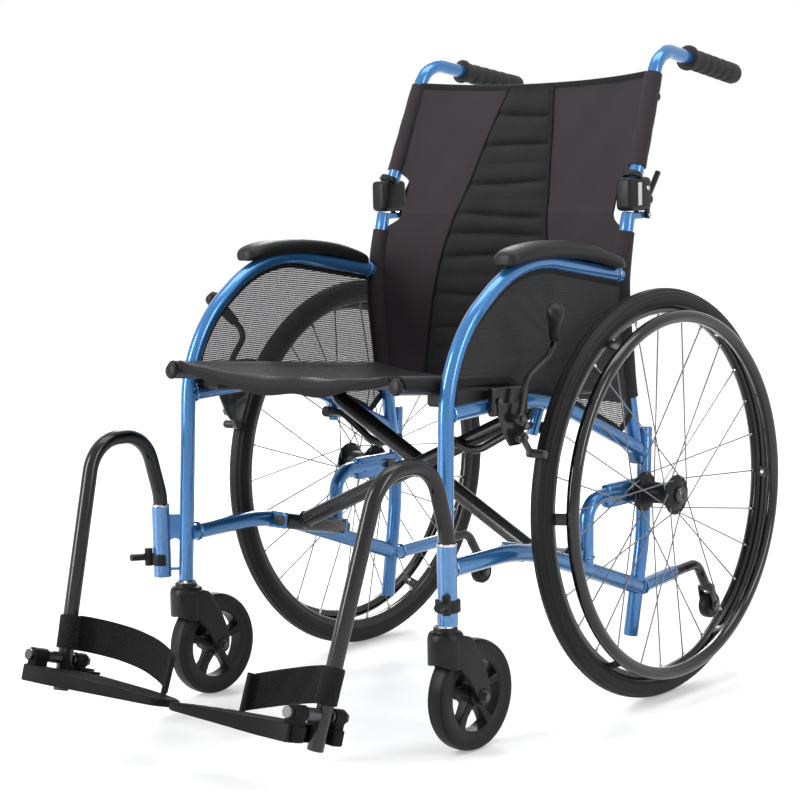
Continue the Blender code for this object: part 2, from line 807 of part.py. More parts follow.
def seat_tube_ends(side):
    front = across(side, SEAT_TUBE_X, SEAT_FRONT_Y, SEAT_FRONT_Z)
    return front, across(side, SEAT_TUBE_X, SEAT_REAR_Y, SEAT_REAR_Z)


def cross_brace(side):
    """One bar of the cross brace: its sleeve on the far lower rail, the bar, and the seat tube on this side.

    The bar that ends on the left lies in front.
    """
    along = -side * BRACE_OFFSET
    foot_x = -side * PIVOT_X
    rise = BRACE_RISE / PIVOT_X
    sleeve = rod(
        "sleeve",
        brace_point(foot_x, 0, SLEEVE_FRONT),
        brace_point(foot_x, 0, SLEEVE_REAR),
        BRACE_TUBE,
    )
    bar = tube(
        "bar",
        bent_path(
            [
                brace_point(foot_x, 0, along),
                brace_point(side * BAR_BEND_X, rise * (PIVOT_X + BAR_BEND_X), along),
                brace_point(side * SEAT_TUBE_X, BAR_END_UP, along),
            ],
            0.030,
            4,
        ),
        BRACE_TUBE,
        8,
    )
    front, rear = seat_tube_ends(side)
    seat_tube = rod("seat_tube", front, rear, TUBE)
    holes = [
        rod(
            "sleeve_bore",
            brace_point(foot_x, 0, SLEEVE_FRONT - 0.01),
            brace_point(foot_x, 0, SLEEVE_REAR + 0.01),
            bore_radius(PIVOT_BOLT),
        ),
        rod("centre_bore", brace_point(0, BRACE_RISE, -0.05), brace_point(0, BRACE_RISE, 0.05), bore_radius(0.005)),
    ]
    name = "brace_front" if side > 0 else "brace_rear"
    pivot = brace_point(-PIVOT_X, 0, 0) if side > 0 else brace_point(0, BRACE_RISE, 0)
    return built(name, PAINT, [bar, sleeve, seat_tube], holes, pivot)


def centre_bolt():
    """The bolt through the crossing of the two bars, with its head, nut and the washer between the bars."""
    outer = BRACE_OFFSET + BRACE_TUBE + CLEARANCE
    pieces = [
        rod("bolt", brace_point(0, BRACE_RISE, -outer - 0.003), brace_point(0, BRACE_RISE, outer + 0.003), 0.005),
        rod("bolt_head", brace_point(0, BRACE_RISE, -outer - 0.005), brace_point(0, BRACE_RISE, -outer), 0.009, sides=6),
        rod("nut", brace_point(0, BRACE_RISE, outer), brace_point(0, BRACE_RISE, outer + 0.006), 0.009, sides=6),
    ]
    half_gap = BRACE_OFFSET - BRACE_TUBE - CLEARANCE
    pieces.append(rod("washer", brace_point(0, BRACE_RISE, -half_gap), brace_point(0, BRACE_RISE, half_gap), 0.010))
    return built("brace_centre_bolt", STEEL, pieces)


def pivot_bolt(side):
    """The long bolt through both lugs of a lower rail and the sleeve of the brace between them."""
    x = side * PIVOT_X
    front = SLEEVE_FRONT - LUG_THICK - 2 * CLEARANCE
    rear = SLEEVE_REAR + LUG_THICK + 2 * CLEARANCE
    pieces = [
        rod("bolt", brace_point(x, 0, front - 0.003), brace_point(x, 0, rear + 0.003), PIVOT_BOLT),
        rod("bolt_head", brace_point(x, 0, front - 0.006), brace_point(x, 0, front), 0.010, sides=6),
        rod("nut", brace_point(x, 0, rear), brace_point(x, 0, rear + 0.006), 0.010, sides=6),
    ]
    return built(name_of("brace_pivot_bolt", side), STEEL, pieces)


def stabiliser_link(side):
    """The bent rod from the seat rail's stub to the upper arm of the brace bar that ends on this side."""
    along = link_offset(side)
    start = brace_point(side * LINK_PIVOT_X, LINK_PIVOT_UP, along)
    end = brace_point(side * LINK_END_X, LINK_END_UP, along)
    path = bent_path(
        [
            start,
            brace_point(side * (LINK_PIVOT_X - 0.032), LINK_PIVOT_UP + 0.001, along),
            brace_point(side * (LINK_END_X + 0.040), LINK_END_UP - 0.012, along),
            end,
        ],
        0.05,
        4,
    )
    axis = BRACE_AXIS * side
    pieces = [
        tube("link_rod", path, LINK_RADIUS, 6),
        rod("link_eye", start - axis * 0.0058, start + axis * 0.0055, 0.009),
        rod("link_eye", end - axis * 0.0055, end + axis * 0.0055, 0.009),
        rod("link_pin", start, start - axis * (STUB_GAP + 0.014), 0.003),
        rod("pin_head", start - axis * (STUB_GAP + 0.0098), start - axis * (STUB_GAP + 0.0138), 0.006, sides=6),
        rod("bolt_head", end - axis * 0.0095, end - axis * 0.005, 0.0065, sides=6),
    ]
    return built(name_of("stabiliser_link", side), PAINT, pieces, (), start)


def seat_guide(side):
    """The plastic saddle on the seat rail that the seat tube drops into."""
    middle = -0.360
    z = seat_tube_z(middle)
    slope = Matrix.Rotation(-math.atan(SEAT_DROP), 4, "X")
    saddle = block(
        "saddle", across(side, 0.2275, middle, z - 0.0130), (0.052, 0.117, 0.028), slope, bevel=0.004
    )
    front, rear = seat_tube_ends(side)
    lift = Vector((0, 0, TUBE))
    holes = [
        rod("tube_groove", front, rear, snug_radius(TUBE, ROD_SIDES)),
        rod("tube_mouth", front + lift, rear + lift, snug_radius(TUBE, ROD_SIDES)),
        tube("rail_groove", seat_rail_path(side), snug_radius(TUBE, 8)),
    ]
    return built(name_of("seat_guide", side), BLACK, [saddle], holes)


def sheet(name, finish, rows, thickness):
    """A thin closed solid about a grid of points: an open surface, thickened."""
    form = bmesh.new()
    grid = [[form.verts.new(point) for point in row] for row in rows]
    for row, onward in zip(grid, grid[1:]):
        for first, second, third, fourth in zip(row, row[1:], onward[1:], onward):
            form.faces.new((first, second, third, fourth))
    panel = mesh_object(name, form)
    thick = panel.modifiers.new("thickness", "SOLIDIFY")
    thick.thickness = thickness
    thick.offset = 0.0
    return built(name, finish, [panel])


def seat_sling():
    """The seat fabric: over both seat tubes, with a shallow sag between them."""
    over = TUBE + 0.0010 + SEAT_THICK / 2
    rows = []
    for index in range(5):
        share = index / 4
        y = SEAT_FRONT_Y + 0.006 + share * (SEAT_REAR_Y - SEAT_FRONT_Y - 0.012)
        sag = 0.018 + 0.010 * math.sin(math.pi * share)
        row = []
        for turn in (25, 55, 90):
            angle = math.radians(turn)
            row.append((SEAT_TUBE_X + over * math.cos(angle), over * math.sin(angle)))
        for across_share in (0.90, 0.66, 0.33):
            x = SEAT_TUBE_X * across_share
            row.append((x, over - sag * (1 - across_share**2)))
        left = [Vector((x, y, seat_tube_z(y) + z)) for x, z in row]
        right = [Vector((-x, y, seat_tube_z(y) + z)) for x, z in reversed(row)]
        middle = [Vector((0, y, seat_tube_z(y) + over - sag))]
        rows.append(left + middle + right)
    return sheet("seat_sling", FABRIC, rows, SEAT_THICK)


UPPER_CANE = [(CANE_X, 0.008, HINGE_Z + 0.006), (0.230, 0.105, 0.966), (0.219, 0.333, 0.9315)]
GRIP_RADIUS = 0.0165
GRIP_RIBS = 5
GRIP_RIB_PITCH = 0.022


def cane_at(z, corners):
    """Where the straight runs between these corners lie at this height, across and along the chair."""
    for low, high in zip(corners, corners[1:]):
        if low[2] <= z <= high[2]:
            share = (z - low[2]) / (high[2] - low[2])
            return low[0] + (high[0] - low[0]) * share, low[1] + (high[1] - low[1]) * share
    return corners[-1][0], corners[-1][1]


def back_panel(name, corners, bottom, top, gap):
    """A back panel hung between the canes, bowed rearwards between them."""
    rows = []
    for index in range(5):
        z = bottom + (top - bottom) * index / 4
        cane_x, cane_y = cane_at(z, corners)
        side_x = cane_x - TUBE - gap
        row = []
        for step in range(9):
            share = step / 4 - 1
            bow = BACK_BOW * (1 - share**4)
            row.append(Vector((side_x * share, cane_y + bow, z)))
        rows.append(row)
    return sheet(name, FABRIC, rows, BACK_THICK)


def back_upholstery():
    back_panel("back_lower", LOWER_CANE, BACK_BOTTOM_Z, HINGE_Z - 0.018, 0.0018)
    back_panel("back_upper", UPPER_CANE, HINGE_Z + 0.058, BACK_TOP_Z, 0.0002)


def upper_cane_path(side):
    return bent_path([across(side, *point) for point in UPPER_CANE], 0.050, 5)


def upper_cane(side):
    cane = tube("upper_tube", upper_cane_path(side), TUBE)
    return built(name_of("upper_cane", side), BLUE, [cane], (), across(side, CANE_X, HINGE_AXIS_Y, HINGE_AXIS_Z))


def push_grip(side):
    """The ribbed rubber grip on the end of a cane."""
    start = across(side, *UPPER_CANE[1])
    end = across(side, *UPPER_CANE[2])
    along = (end - start).normalized()
    length = 0.150
    open_end = end + along * 0.004 - along * length
    bore = bore_radius(TUBE)
    profile = [(bore, 0.0), (GRIP_RADIUS + 0.003, 0.0), (GRIP_RADIUS + 0.003, 0.006), (GRIP_RADIUS, 0.010)]
    for index in range(GRIP_RIBS):
        base = 0.024 + index * GRIP_RIB_PITCH
        profile.append((GRIP_RADIUS - 0.0025, base))
        profile.append((GRIP_RADIUS, base + GRIP_RIB_PITCH / 2))
    profile += [(GRIP_RADIUS, length - 0.006), (GRIP_RADIUS - 0.006, length), (0, length)]
    profile += [(0, length - 0.004 + CLEARANCE), (bore, length - 0.004 + CLEARANCE)]
    grip = turned("grip", profile, open_end, open_end + along, 12)
    return built(name_of("push_grip", side), RUBBER, [grip])


HOUSING_CENTRE_Y = 0.018
HOUSING_SIZE = (0.030, 0.056, 0.050)
HOUSING_FOOT_Z = HINGE_Z + 0.0008


def back_hinge(side):
    """The plastic hinge housing clamped round the foot of the upper cane, with its ears and hinge pin."""
    centre = across(side, CANE_X, HOUSING_CENTRE_Y, HOUSING_FOOT_Z + HOUSING_SIZE[2] / 2)
    pieces = [block("housing", centre, HOUSING_SIZE, bevel=0.006)]
    for ear_side in (-1, 1):
        inner = CANE_X + ear_side * (LUG_WIDTH / 2 + 0.0006)
        outer = inner + ear_side * 0.0045
        start = across(side, inner, HINGE_AXIS_Y, HINGE_AXIS_Z)
        end = across(side, outer, HINGE_AXIS_Y, HINGE_AXIS_Z)
        pieces.append(rod("ear", start, end, 0.0055))
        middle = across(side, (inner + outer) / 2, HINGE_AXIS_Y - 0.0025, HINGE_AXIS_Z + 0.008)
        pieces.append(block("ear_root", middle, (0.0045, 0.008, 0.014)))
    reach = LUG_WIDTH / 2 + 0.004
    pieces.append(
        rod(
            "hinge_pin",
            across(side, CANE_X - reach, HINGE_AXIS_Y, HINGE_AXIS_Z),
            across(side, CANE_X + reach, HINGE_AXIS_Y, HINGE_AXIS_Z),
            HINGE_PIN,
            sides=10,
        )
    )
    path = upper_cane_path(side)[:2]
    foot = path[0] + (path[0] - path[1]).normalized() * 0.02
    bore = rod("cane_bore", foot, path[1], bore_radius(TUBE))
    return built(name_of("back_hinge", side), BLACK, pieces, [bore])


RELEASE_AXIS_Y = 0.0525
RELEASE_AXIS_Z = 0.739


def back_release(side):
    """The lever behind the hinge housing that lets the back fold."""
    axis = across(side, CANE_X, RELEASE_AXIS_Y, RELEASE_AXIS_Z)
    half = Vector((0.007, 0, 0))
    pieces = [rod("lever_boss", axis - half, axis + half, 0.0062)]
    pieces.append(tube("lever_arm", [axis, axis + Vector((0, 0.030, 0.040))], 0.0045, 8))
    pieces.append(tube("lever_tail", [axis, axis + Vector((0, 0.002, -0.016))], 0.004, 8))
    return built(name_of("back_release", side), BLACK, pieces, (), axis)


HANGER_CORNER = (0.277, -0.599, 0.410)
HANGER_TAIL = 0.145
FOOT_TILT = math.atan2(HANGER_CORNER[1] - FOOT_HINGE_Y, HANGER_CORNER[2] - FOOT_HINGE_Z)
FOOT_AXIS = Vector((0, math.cos(FOOT_TILT), -math.sin(FOOT_TILT)))
FOOT_UP = Vector((0, math.sin(FOOT_TILT), math.cos(FOOT_TILT)))
HANGER_BENDS = [0.08, 0.056, 0.060]
EAR_FRONT = (-0.062, -0.036)
EAR_REAR = (0.016, 0.036)
EAR_RADIUS = 0.0105
EAR_DROP = 0.0008
PLATE_TOP = -0.0135
STRAP_POST = (0.1755, 0.0345)
STRAP_POST_RADIUS = 0.004
STRAP_THICK = 0.003
STRAP_HEIGHT = 0.026
STRAP_HALF = 0.025
PIN_RADIUS = 0.004
COLLAR_RADIUS = 0.0085


def foot_point(side, inboard, up, along):
    """A point of the footrest hinge: inboard of its pin, above it, and along it towards the rear."""
    hinge = across(side, FOOT_HINGE_X, FOOT_HINGE_Y, FOOT_HINGE_Z)
    return hinge + Vector((-side * inboard, 0, 0)) + FOOT_UP * up + FOOT_AXIS * along


def plate_point(side, inboard, up, along):
    """A point of the footplate, which slopes down towards the middle of the chair."""
    lean = inboard * math.sin(PLATE_SLOPE)
    return foot_point(side, inboard * math.cos(PLATE_SLOPE), up - lean, along)


def hanger(side):
    """The footrest tube: from its socket up, over the front bend and down to the footplate."""
    corner = across(side, *HANGER_CORNER)
    hinge = foot_point(side, 0, 0, 0)
    corners = [
        across(side, SOCKET_X, SOCKET_Y, SOCKET_BOTTOM_Z + 0.013),
        across(side, SOCKET_X, SOCKET_Y, SOCKET_TOP_Z + 0.016),
        across(side, SOCKET_X, -0.500, 0.410),
        corner,
        hinge + (hinge - corner) * HANGER_TAIL,
    ]
    pipe = tube("hanger_tube", bent_path(corners, HANGER_BENDS, 5), TUBE)
    low = foot_point(side, 0, 0, -0.03)
    high = foot_point(side, 0, 0, 0.03)
    bore = rod("pin_bore", low, high, bore_radius(PIN_RADIUS))
    pivot = across(side, SOCKET_X, SOCKET_Y, SOCKET_TOP_Z)
    return built(name_of("footrest_hanger", side), PAINT, [pipe], [bore], pivot)


RELEASE_X = 0.2915
RELEASE_Y = -0.4895


def hanger_release(side):
    """The black lever at the foot of the socket that lets the hanger swing."""
    foot = across(side, RELEASE_X, RELEASE_Y, SOCKET_BOTTOM_Z + 0.018)
    head = foot + Vector((0, 0, 0.026))
    lever_start = foot + Vector((0, 0, 0.013))
    lever_end = lever_start + Vector((side * 0.008, -0.028, 0.002))
    pieces = [
        rod("release_boss", foot, head, 0.0062),
        tube("release_lever", [lever_start, lever_end], 0.0055, 8),
    ]
    return built(name_of("hanger_release", side), BLACK, pieces, (), foot)


def hinge_pin(side):
    """The pin through the foot of the hanger, with the two collars that space the footplate's ears."""
    gap = CLEARANCE
    pieces = [
        rod("pin", foot_point(side, 0, 0, EAR_FRONT[0] - 0.004), foot_point(side, 0, 0, EAR_REAR[1] + 0.004), PIN_RADIUS),
        rod("collar", foot_point(side, 0, 0, EAR_FRONT[1] + gap), foot_point(side, 0, 0, -TUBE - gap), COLLAR_RADIUS),
        rod("collar", foot_point(side, 0, 0, TUBE + gap), foot_point(side, 0, 0, EAR_REAR[0] - gap), COLLAR_RADIUS),
        rod("head", foot_point(side, 0, 0, EAR_FRONT[0] - 0.006), foot_point(side, 0, 0, EAR_FRONT[0] - gap), 0.008, sides=8),
        rod("nut", foot_point(side, 0, 0, EAR_REAR[1] + gap), foot_point(side, 0, 0, EAR_REAR[1] + 0.006), 0.008, sides=6),
    ]
    return built(name_of("footplate_pin", side), STEEL, pieces, (), foot_point(side, 0, 0, 0))


PLATE_OUTLINE = [
    (-0.006, -0.067),
    (0.050, -0.065),
    (0.140, -0.052),
    (0.225, -0.045),
    (0.235, -0.041),
    (0.240, -0.032),
    (0.240, -0.002),
    (0.234, 0.012),
    (0.215, 0.024),
    STRAP_POST,
    (0.140, 0.037),
    (0.016, 0.037),
    (0.016, -0.032),
    (-0.006, -0.040),
]
PLATE_REACH = max(inboard for inboard, along in PLATE_OUTLINE)


def footplate(side):
    """The moulded footplate: tapering to its tip, with two hinge ears round the pin and the heel strap's post."""
    form = bmesh.new()
    top, bottom = [], []
    for inboard, along in PLATE_OUTLINE:
        share = max(0.0, inboard / PLATE_REACH)
        thick = PLATE_THICK + (PLATE_TIP_THICK - PLATE_THICK) * share
        top.append(form.verts.new(plate_point(side, inboard, PLATE_TOP, along)))
        bottom.append(form.verts.new(plate_point(side, inboard, PLATE_TOP - thick, along)))
    form.faces.new(top)
    form.faces.new(list(reversed(bottom)))
    for index in range(len(top)):
        onward = (index + 1) % len(top)
        form.faces.new((top[index], bottom[index], bottom[onward], top[onward]))
    plate = mesh_object("plate", form)
    pieces = [plate]
    for start, end in (EAR_FRONT, EAR_REAR):
        pieces.append(rod("ear", foot_point(side, 0, 0, start), foot_point(side, 0, 0, end), EAR_RADIUS))
        middle = (start + end) / 2
        turn = Matrix.Rotation(-FOOT_TILT, 4, "X") @ Matrix.Rotation(side * PLATE_SLOPE, 4, "Y")
        depth = PLATE_THICK - 3 * EAR_DROP
        length = end - start - EAR_DROP
        centre = plate_point(side, 0.006, PLATE_TOP - EAR_DROP - depth / 2, middle)
        pieces.append(block("ear_root", centre, (0.033, length, depth), turn, bevel=0.002))
        centre = plate_point(side, 0.0005, PLATE_TOP / 2, middle)
        pieces.append(block("ear_neck", centre, (0.018, length - EAR_DROP, -PLATE_TOP + 0.008), turn))
    inboard, along = STRAP_POST
    post_foot = plate_point(side, inboard, PLATE_TOP - 0.006, along)
    post_tip = plate_point(side, inboard, PLATE_TOP + 0.052, along + 0.004)
    pieces.append(rod("strap_post", post_foot, post_tip, STRAP_POST_RADIUS))
    low = foot_point(side, 0, 0, EAR_FRONT[0] - 0.03)
    high = foot_point(side, 0, 0, EAR_REAR[1] + 0.03)
    pin_bore = rod("pin_bore", low, high, bore_radius(PIN_RADIUS))
    tube_gap = rod(
        "tube_gap", foot_point(side, 0, -0.06, -0.001), foot_point(side, 0, 0.04, -0.001), TUBE + 0.003, sides=16
    )
    name = name_of("footplate", side)
    return built(name, BLACK, pieces, [pin_bore, tube_gap], foot_point(side, 0, 0, 0))


def heel_strap(side):
    """The wide heel strap from the hanger tube, bulging rearwards, to the post on the footplate."""
    inboard, along = STRAP_POST
    behind = along + 0.0022 + STRAP_POST_RADIUS + STRAP_THICK / 2 + CLEARANCE
    post = plate_point(side, inboard, PLATE_TOP + STRAP_HEIGHT, behind)
    start = foot_point(side, 0, 0.038, TUBE + STRAP_THICK / 2 + CLEARANCE)
    rows = []
    for step in range(9):
        share = step / 8
        bulge = 0.031 * math.sin(math.pi * share) ** 0.8
        middle = start.lerp(post, share) + Vector((0, bulge, 0))
        lean = Vector((0, 0.29 + 0.09 * share, 1)).normalized() * STRAP_HALF
        rows.append([middle - lean, middle + lean])
    return sheet(name_of("heel_strap", side), FABRIC, rows, STRAP_THICK)


ANTI_TIP_WHEEL = (0.235, 0.232, 0.087)
ANTI_TIP_RADIUS = 0.021


def anti_tip_arm(side):
    """The black arm that plugs into the rear tube and turns down to its small wheel."""
    path = bent_path(
        [
            tip_line(side, 0.56),
            tip_line(side, 1.25),
            across(side, 0.2350, 0.196, 0.160),
            across(side, 0.2350, 0.2235, 0.1175),
        ],
        [0.06, 0.030],
        4,
    )
    hub = across(side, *ANTI_TIP_WHEEL)
    pieces = [tube("arm", path, TIP_ARM, 8)]
    for offset in (-1, 1):
        inner = hub + Vector((offset * 0.0095, 0, 0))
        outer = hub + Vector((offset * 0.0125, 0, 0))
        pieces.append(rod("fork_eye", inner, outer, 0.009))
        crown = hub + Vector((offset * 0.011, -0.005, 0.016))
        pieces.append(block("fork_leg", crown, (0.003, 0.012, 0.032), Matrix.Rotation(0.25, 4, "X")))
    pieces.append(block("fork_crown", hub + Vector((0, -0.008, 0.030)), (0.025, 0.013, 0.008), Matrix.Rotation(0.25, 4, "X")))
    half = Vector((0.014, 0, 0))
    pieces.append(rod("anti_tip_axle", hub - half, hub + half, 0.003, sides=8))
    return built(name_of("anti_tip_arm", side), PAINT, pieces)


def anti_tip_wheel(side):
    hub = across(side, *ANTI_TIP_WHEEL)
    half = 0.009
    tread = 0.003
    profile = [
        (0.0033, -half),
        (0.0033, half),
        (ANTI_TIP_RADIUS - tread, half),
        (ANTI_TIP_RADIUS, half - tread),
        (ANTI_TIP_RADIUS, tread - half),
        (ANTI_TIP_RADIUS - tread, -half),
    ]
    wheel = turned("roller", profile, hub, hub + Vector((1, 0, 0)), 20)
    return built(name_of("anti_tip_wheel", side), RUBBER, [wheel], (), hub)


LOCK_X = 0.2885
LOCK_PIVOT = (LOCK_X, -0.323, 0.450)
LOCK_TOP = (0.334, -0.300, 0.596)
SHOE_PIVOT = (LOCK_X, -0.318, 0.424)
SHOE_GAP = 0.003
SHOE_RADIUS = 0.0065
SHOE_ANGLE = math.radians(17.6)
EYE_HALF = 0.0045


def lock_mount(side):
    """The clamp and plate of the wheel lock, bolted to the outside of the seat rail."""
    clamp = block(
        "clamp", across(side, 0.2675, -0.322, 0.474), (0.0115, 0.092, 0.044), Matrix.Rotation(-0.03, 4, "X"), bevel=0.003
    )
    plate = extruded(
        "lock_plate",
        [(-0.364, 0.470), (-0.364, 0.452), (-0.340, 0.422), (-0.328, 0.412), (-0.306, 0.412), (-0.276, 0.446), (-0.276, 0.470)],
        0.004,
        Matrix.Translation((side * 0.2742, 0, 0)) @ Matrix.Rotation(math.radians(90), 4, "Y") @ Matrix.Rotation(math.radians(90), 4, "Z"),
    )
    pieces = [clamp, plate]
    for name, (x, y, z) in (("lever_pin", LOCK_PIVOT), ("shoe_pin", SHOE_PIVOT)):
        seat = x - EYE_HALF - CLEARANCE
        pieces.append(rod(name + "_boss", across(side, 0.274, y, z), across(side, seat, y, z), 0.0065))
        pieces.append(rod(name, across(side, 0.274, y, z), across(side, x + 0.0085, y, z), 0.003))
        face = x + EYE_HALF + CLEARANCE
        pieces.append(rod(name + "_head", across(side, face, y, z), across(side, face + 0.0035, y, z), 0.0055, sides=6))
    for y in (-0.350, -0.294):
        pieces.append(rod("clamp_bolt", across(side, 0.272, y, 0.476), across(side, 0.2785, y, 0.476), 0.005, sides=6))
    rail_groove = tube("rail_groove", seat_rail_path(side), snug_radius(TUBE, 8))
    return built(name_of("lock_mount", side), PAINT, pieces, [rail_groove])


def lock_lever(side):
    """The hand lever of the wheel lock, bent outwards to its ball grip."""
    pivot = across(side, *LOCK_PIVOT)
    path = bent_path(
        [
            pivot,
            across(side, 0.2885, -0.306, 0.505),
            across(side, 0.302, -0.262, 0.540),
            across(side, *LOCK_TOP),
        ],
        [0.030, 0.022],
        4,
    )
    outward = Vector((side, 0, 0))
    pieces = [
        tube("lever_bar", path, 0.0045, 8),
        rod("lever_eye", pivot - outward * EYE_HALF, pivot + outward * EYE_HALF, 0.009),
    ]
    grip = turned(
        "lever_grip",
        [(0, 0), (0.007, 0.0), (0.0085, 0.012), (0.0095, 0.034), (0.0125, 0.047), (0.0125, 0.054), (0.008, 0.061), (0, 0.062)],
        path[-1] + (path[-2] - path[-1]).normalized() * 0.052,
        path[-1] + (path[-1] - path[-2]).normalized(),
        12,
    )
    pieces.append(grip)
    bore = rod("lever_bore", pivot - outward * 0.02, pivot + outward * 0.02, bore_radius(0.003))
    return built(name_of("lock_lever", side), PAINT, pieces, [bore], pivot)


def lock_shoe(side):
    """The brake shoe arm: from its pin rearwards to the bar that presses on the tyre."""
    pivot = across(side, *SHOE_PIVOT)
    outward = Vector((side, 0, 0))
    reach = WHEEL_RADIUS + SHOE_GAP + SHOE_RADIUS
    tip = across(side, LOCK_X, -reach * math.cos(SHOE_ANGLE), WHEEL_RADIUS + reach * math.sin(SHOE_ANGLE))
    pieces = [
        rod("shoe_eye", pivot - outward * EYE_HALF, pivot + outward * EYE_HALF, 0.008),
        tube("shoe_arm", [pivot, tip], 0.0045, 8),
        rod("shoe_bar", tip - outward * EYE_HALF, tip + outward * 0.026, SHOE_RADIUS),
    ]
    bore = rod("shoe_bore", pivot - outward * 0.02, pivot + outward * 0.02, bore_radius(0.003))
    return built(name_of("lock_shoe", side), STEEL, pieces, [bore], pivot)


GUARD_GAP = 0.0003
GUARD_FRONT_Z = 0.504


def side_guard(side):
    """The fabric clothes guard, held inside the loop of armrest, cane and seat rail."""
    top = [(p.y, p.z) for p in arm_path(side) if p.z > GUARD_FRONT_Z]
    rear = [(p.y, p.z) for p in reversed(lower_cane_path(side)) if 0.41 < p.z < 0.60]
    low = [(p.y, p.z) for p in reversed(seat_rail_path(side)) if -0.275 < p.y < -0.02]
    outline = top + rear + low + [(-0.296, 0.499), (-0.434, GUARD_FRONT_Z)]
    place = (
        Matrix.Translation((side * FRAME_X, 0, 0))
        @ Matrix.Rotation(math.radians(90), 4, "Y")
        @ Matrix.Rotation(math.radians(90), 4, "Z")
    )
    panel = extruded("guard", outline, 0.003, place)
    edge = snug_radius(TUBE, 8) + GUARD_GAP
    cutters = [
        tube("arm_edge", arm_path(side), edge),
        tube("rail_edge", seat_rail_path(side), edge),
        tube("cane_edge", lower_cane_path(side), edge),
    ]
    return built(name_of("side_guard", side), FABRIC, [panel], cutters)


def main():
    for side in (1, -1):
        side_frame(side)
        armrest_pad(side)
        side_guard(side)
        seat_guide(side)
        cross_brace(side)
        pivot_bolt(side)
        stabiliser_link(side)
        upper_cane(side)
        push_grip(side)
        back_hinge(side)
        back_release(side)
        rear_wheel(side)
        rear_tyre(side)
        handrim(side)
        rear_axle(side)
        caster_fork(side)
        caster_wheel(side)
        caster_tyre(side)
        hanger(side)
        hanger_release(side)
        hinge_pin(side)
        footplate(side)
        heel_strap(side)
        anti_tip_arm(side)
        anti_tip_wheel(side)
        lock_mount(side)
        lock_lever(side)
        lock_shoe(side)
    centre_bolt()
    seat_sling()
    back_upholstery()
    for obj in [*PARTS.objects, *CUTTERS.objects]:
        obj.location.y += AXLE_Y


main()
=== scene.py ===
# %% [markdown]
# # A folding wheelchair, dressed for its portrait
#
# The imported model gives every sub-part its true place and its joints. This script builds what the eye sees
# around it: round tubes, tyre tread, woven cloth, stitching and lacquer. Each step starts with a short note
# on the real piece and on why it is made this way.

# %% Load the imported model
import math

import bmesh
import bpy
from mathutils import Matrix, Vector, noise


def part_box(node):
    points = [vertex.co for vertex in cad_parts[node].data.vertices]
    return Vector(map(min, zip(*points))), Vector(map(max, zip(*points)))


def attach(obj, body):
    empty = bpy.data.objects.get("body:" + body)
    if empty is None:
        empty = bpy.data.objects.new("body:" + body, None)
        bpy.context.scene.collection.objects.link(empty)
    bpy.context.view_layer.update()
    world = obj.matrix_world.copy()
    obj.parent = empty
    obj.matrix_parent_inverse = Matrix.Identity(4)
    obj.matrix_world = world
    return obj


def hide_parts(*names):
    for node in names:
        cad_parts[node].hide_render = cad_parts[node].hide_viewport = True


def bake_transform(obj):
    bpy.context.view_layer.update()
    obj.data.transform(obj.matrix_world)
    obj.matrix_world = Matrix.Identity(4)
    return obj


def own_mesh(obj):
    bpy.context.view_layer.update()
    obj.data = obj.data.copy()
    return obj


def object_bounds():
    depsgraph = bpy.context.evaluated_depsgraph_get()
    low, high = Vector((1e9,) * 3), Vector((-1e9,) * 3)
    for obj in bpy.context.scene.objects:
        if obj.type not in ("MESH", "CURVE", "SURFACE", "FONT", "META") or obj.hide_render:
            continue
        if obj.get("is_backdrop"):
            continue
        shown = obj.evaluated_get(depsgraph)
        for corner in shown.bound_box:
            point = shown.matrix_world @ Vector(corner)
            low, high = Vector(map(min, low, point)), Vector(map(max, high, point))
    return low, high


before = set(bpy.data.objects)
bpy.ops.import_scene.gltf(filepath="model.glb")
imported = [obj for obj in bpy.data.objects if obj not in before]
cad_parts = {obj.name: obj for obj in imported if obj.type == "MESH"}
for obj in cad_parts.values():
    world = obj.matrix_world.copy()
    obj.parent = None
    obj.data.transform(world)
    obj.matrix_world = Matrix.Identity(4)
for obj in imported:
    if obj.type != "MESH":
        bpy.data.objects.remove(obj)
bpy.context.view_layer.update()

# %% [markdown]
# The rear axle is the natural place to measure a wheelchair from, so every Y below is counted from it.
# `at` turns such a point into the model's own frame, and `side` is 1 for the sitter's left and -1 for the right.

# %% Points and names
AXLE_Y = sum(corner.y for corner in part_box("rear_axle_left")) / 2
SIDES = {1: "left", -1: "right"}


def at(x, y, z):
    return Vector((x, y + AXLE_Y, z))


def on(side, x, y, z):
    """The same point on the left or on the right."""
    return at(side * x, y, z)


def named(part, side):
    return f"{part}_{SIDES[side]}"


print("rear axle behind the middle by", round(AXLE_Y, 4), "m")

# %% [markdown]
# ## Shapes
#
# Almost everything on a wheelchair is a bent bar, a turned part, a rounded moulding or a sheet of cloth.
# Four small makers cover those. A sweep carries a flat section along a path and turns it as little as
# possible from point to point, which is how a bent tube really lies, and it works for round tube,
# flat webbing and piping alike.


# %% Meshes become pieces
def piece(name, form, finish, body, angle=40, replaces=()):
    """Turns a bmesh into an object that rides on a body and wears a finish. Edges sharper than the angle stay hard."""
    bmesh.ops.recalc_face_normals(form, faces=form.faces)
    mesh = bpy.data.meshes.new(name)
    form.to_mesh(mesh)
    form.free()
    obj = bpy.data.objects.new(name, mesh)
    bpy.context.scene.collection.objects.link(obj)
    mesh.materials.append(finish)
    mesh.shade_smooth()
    mesh.set_sharp_from_angle(angle=math.radians(angle))
    if replaces:
        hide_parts(*replaces)
    if body:
        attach(obj, body)
    return obj


def dress(side, part, form, finish, body, cad=None, angle=40):
    """A piece of the left or the right side. It rides on that side's body and may stand in for that side's node."""
    stands_for = [named(cad, side)] if cad else ()
    return piece(named(part, side), form, finish, named(body, side) if body else None, angle, stands_for)


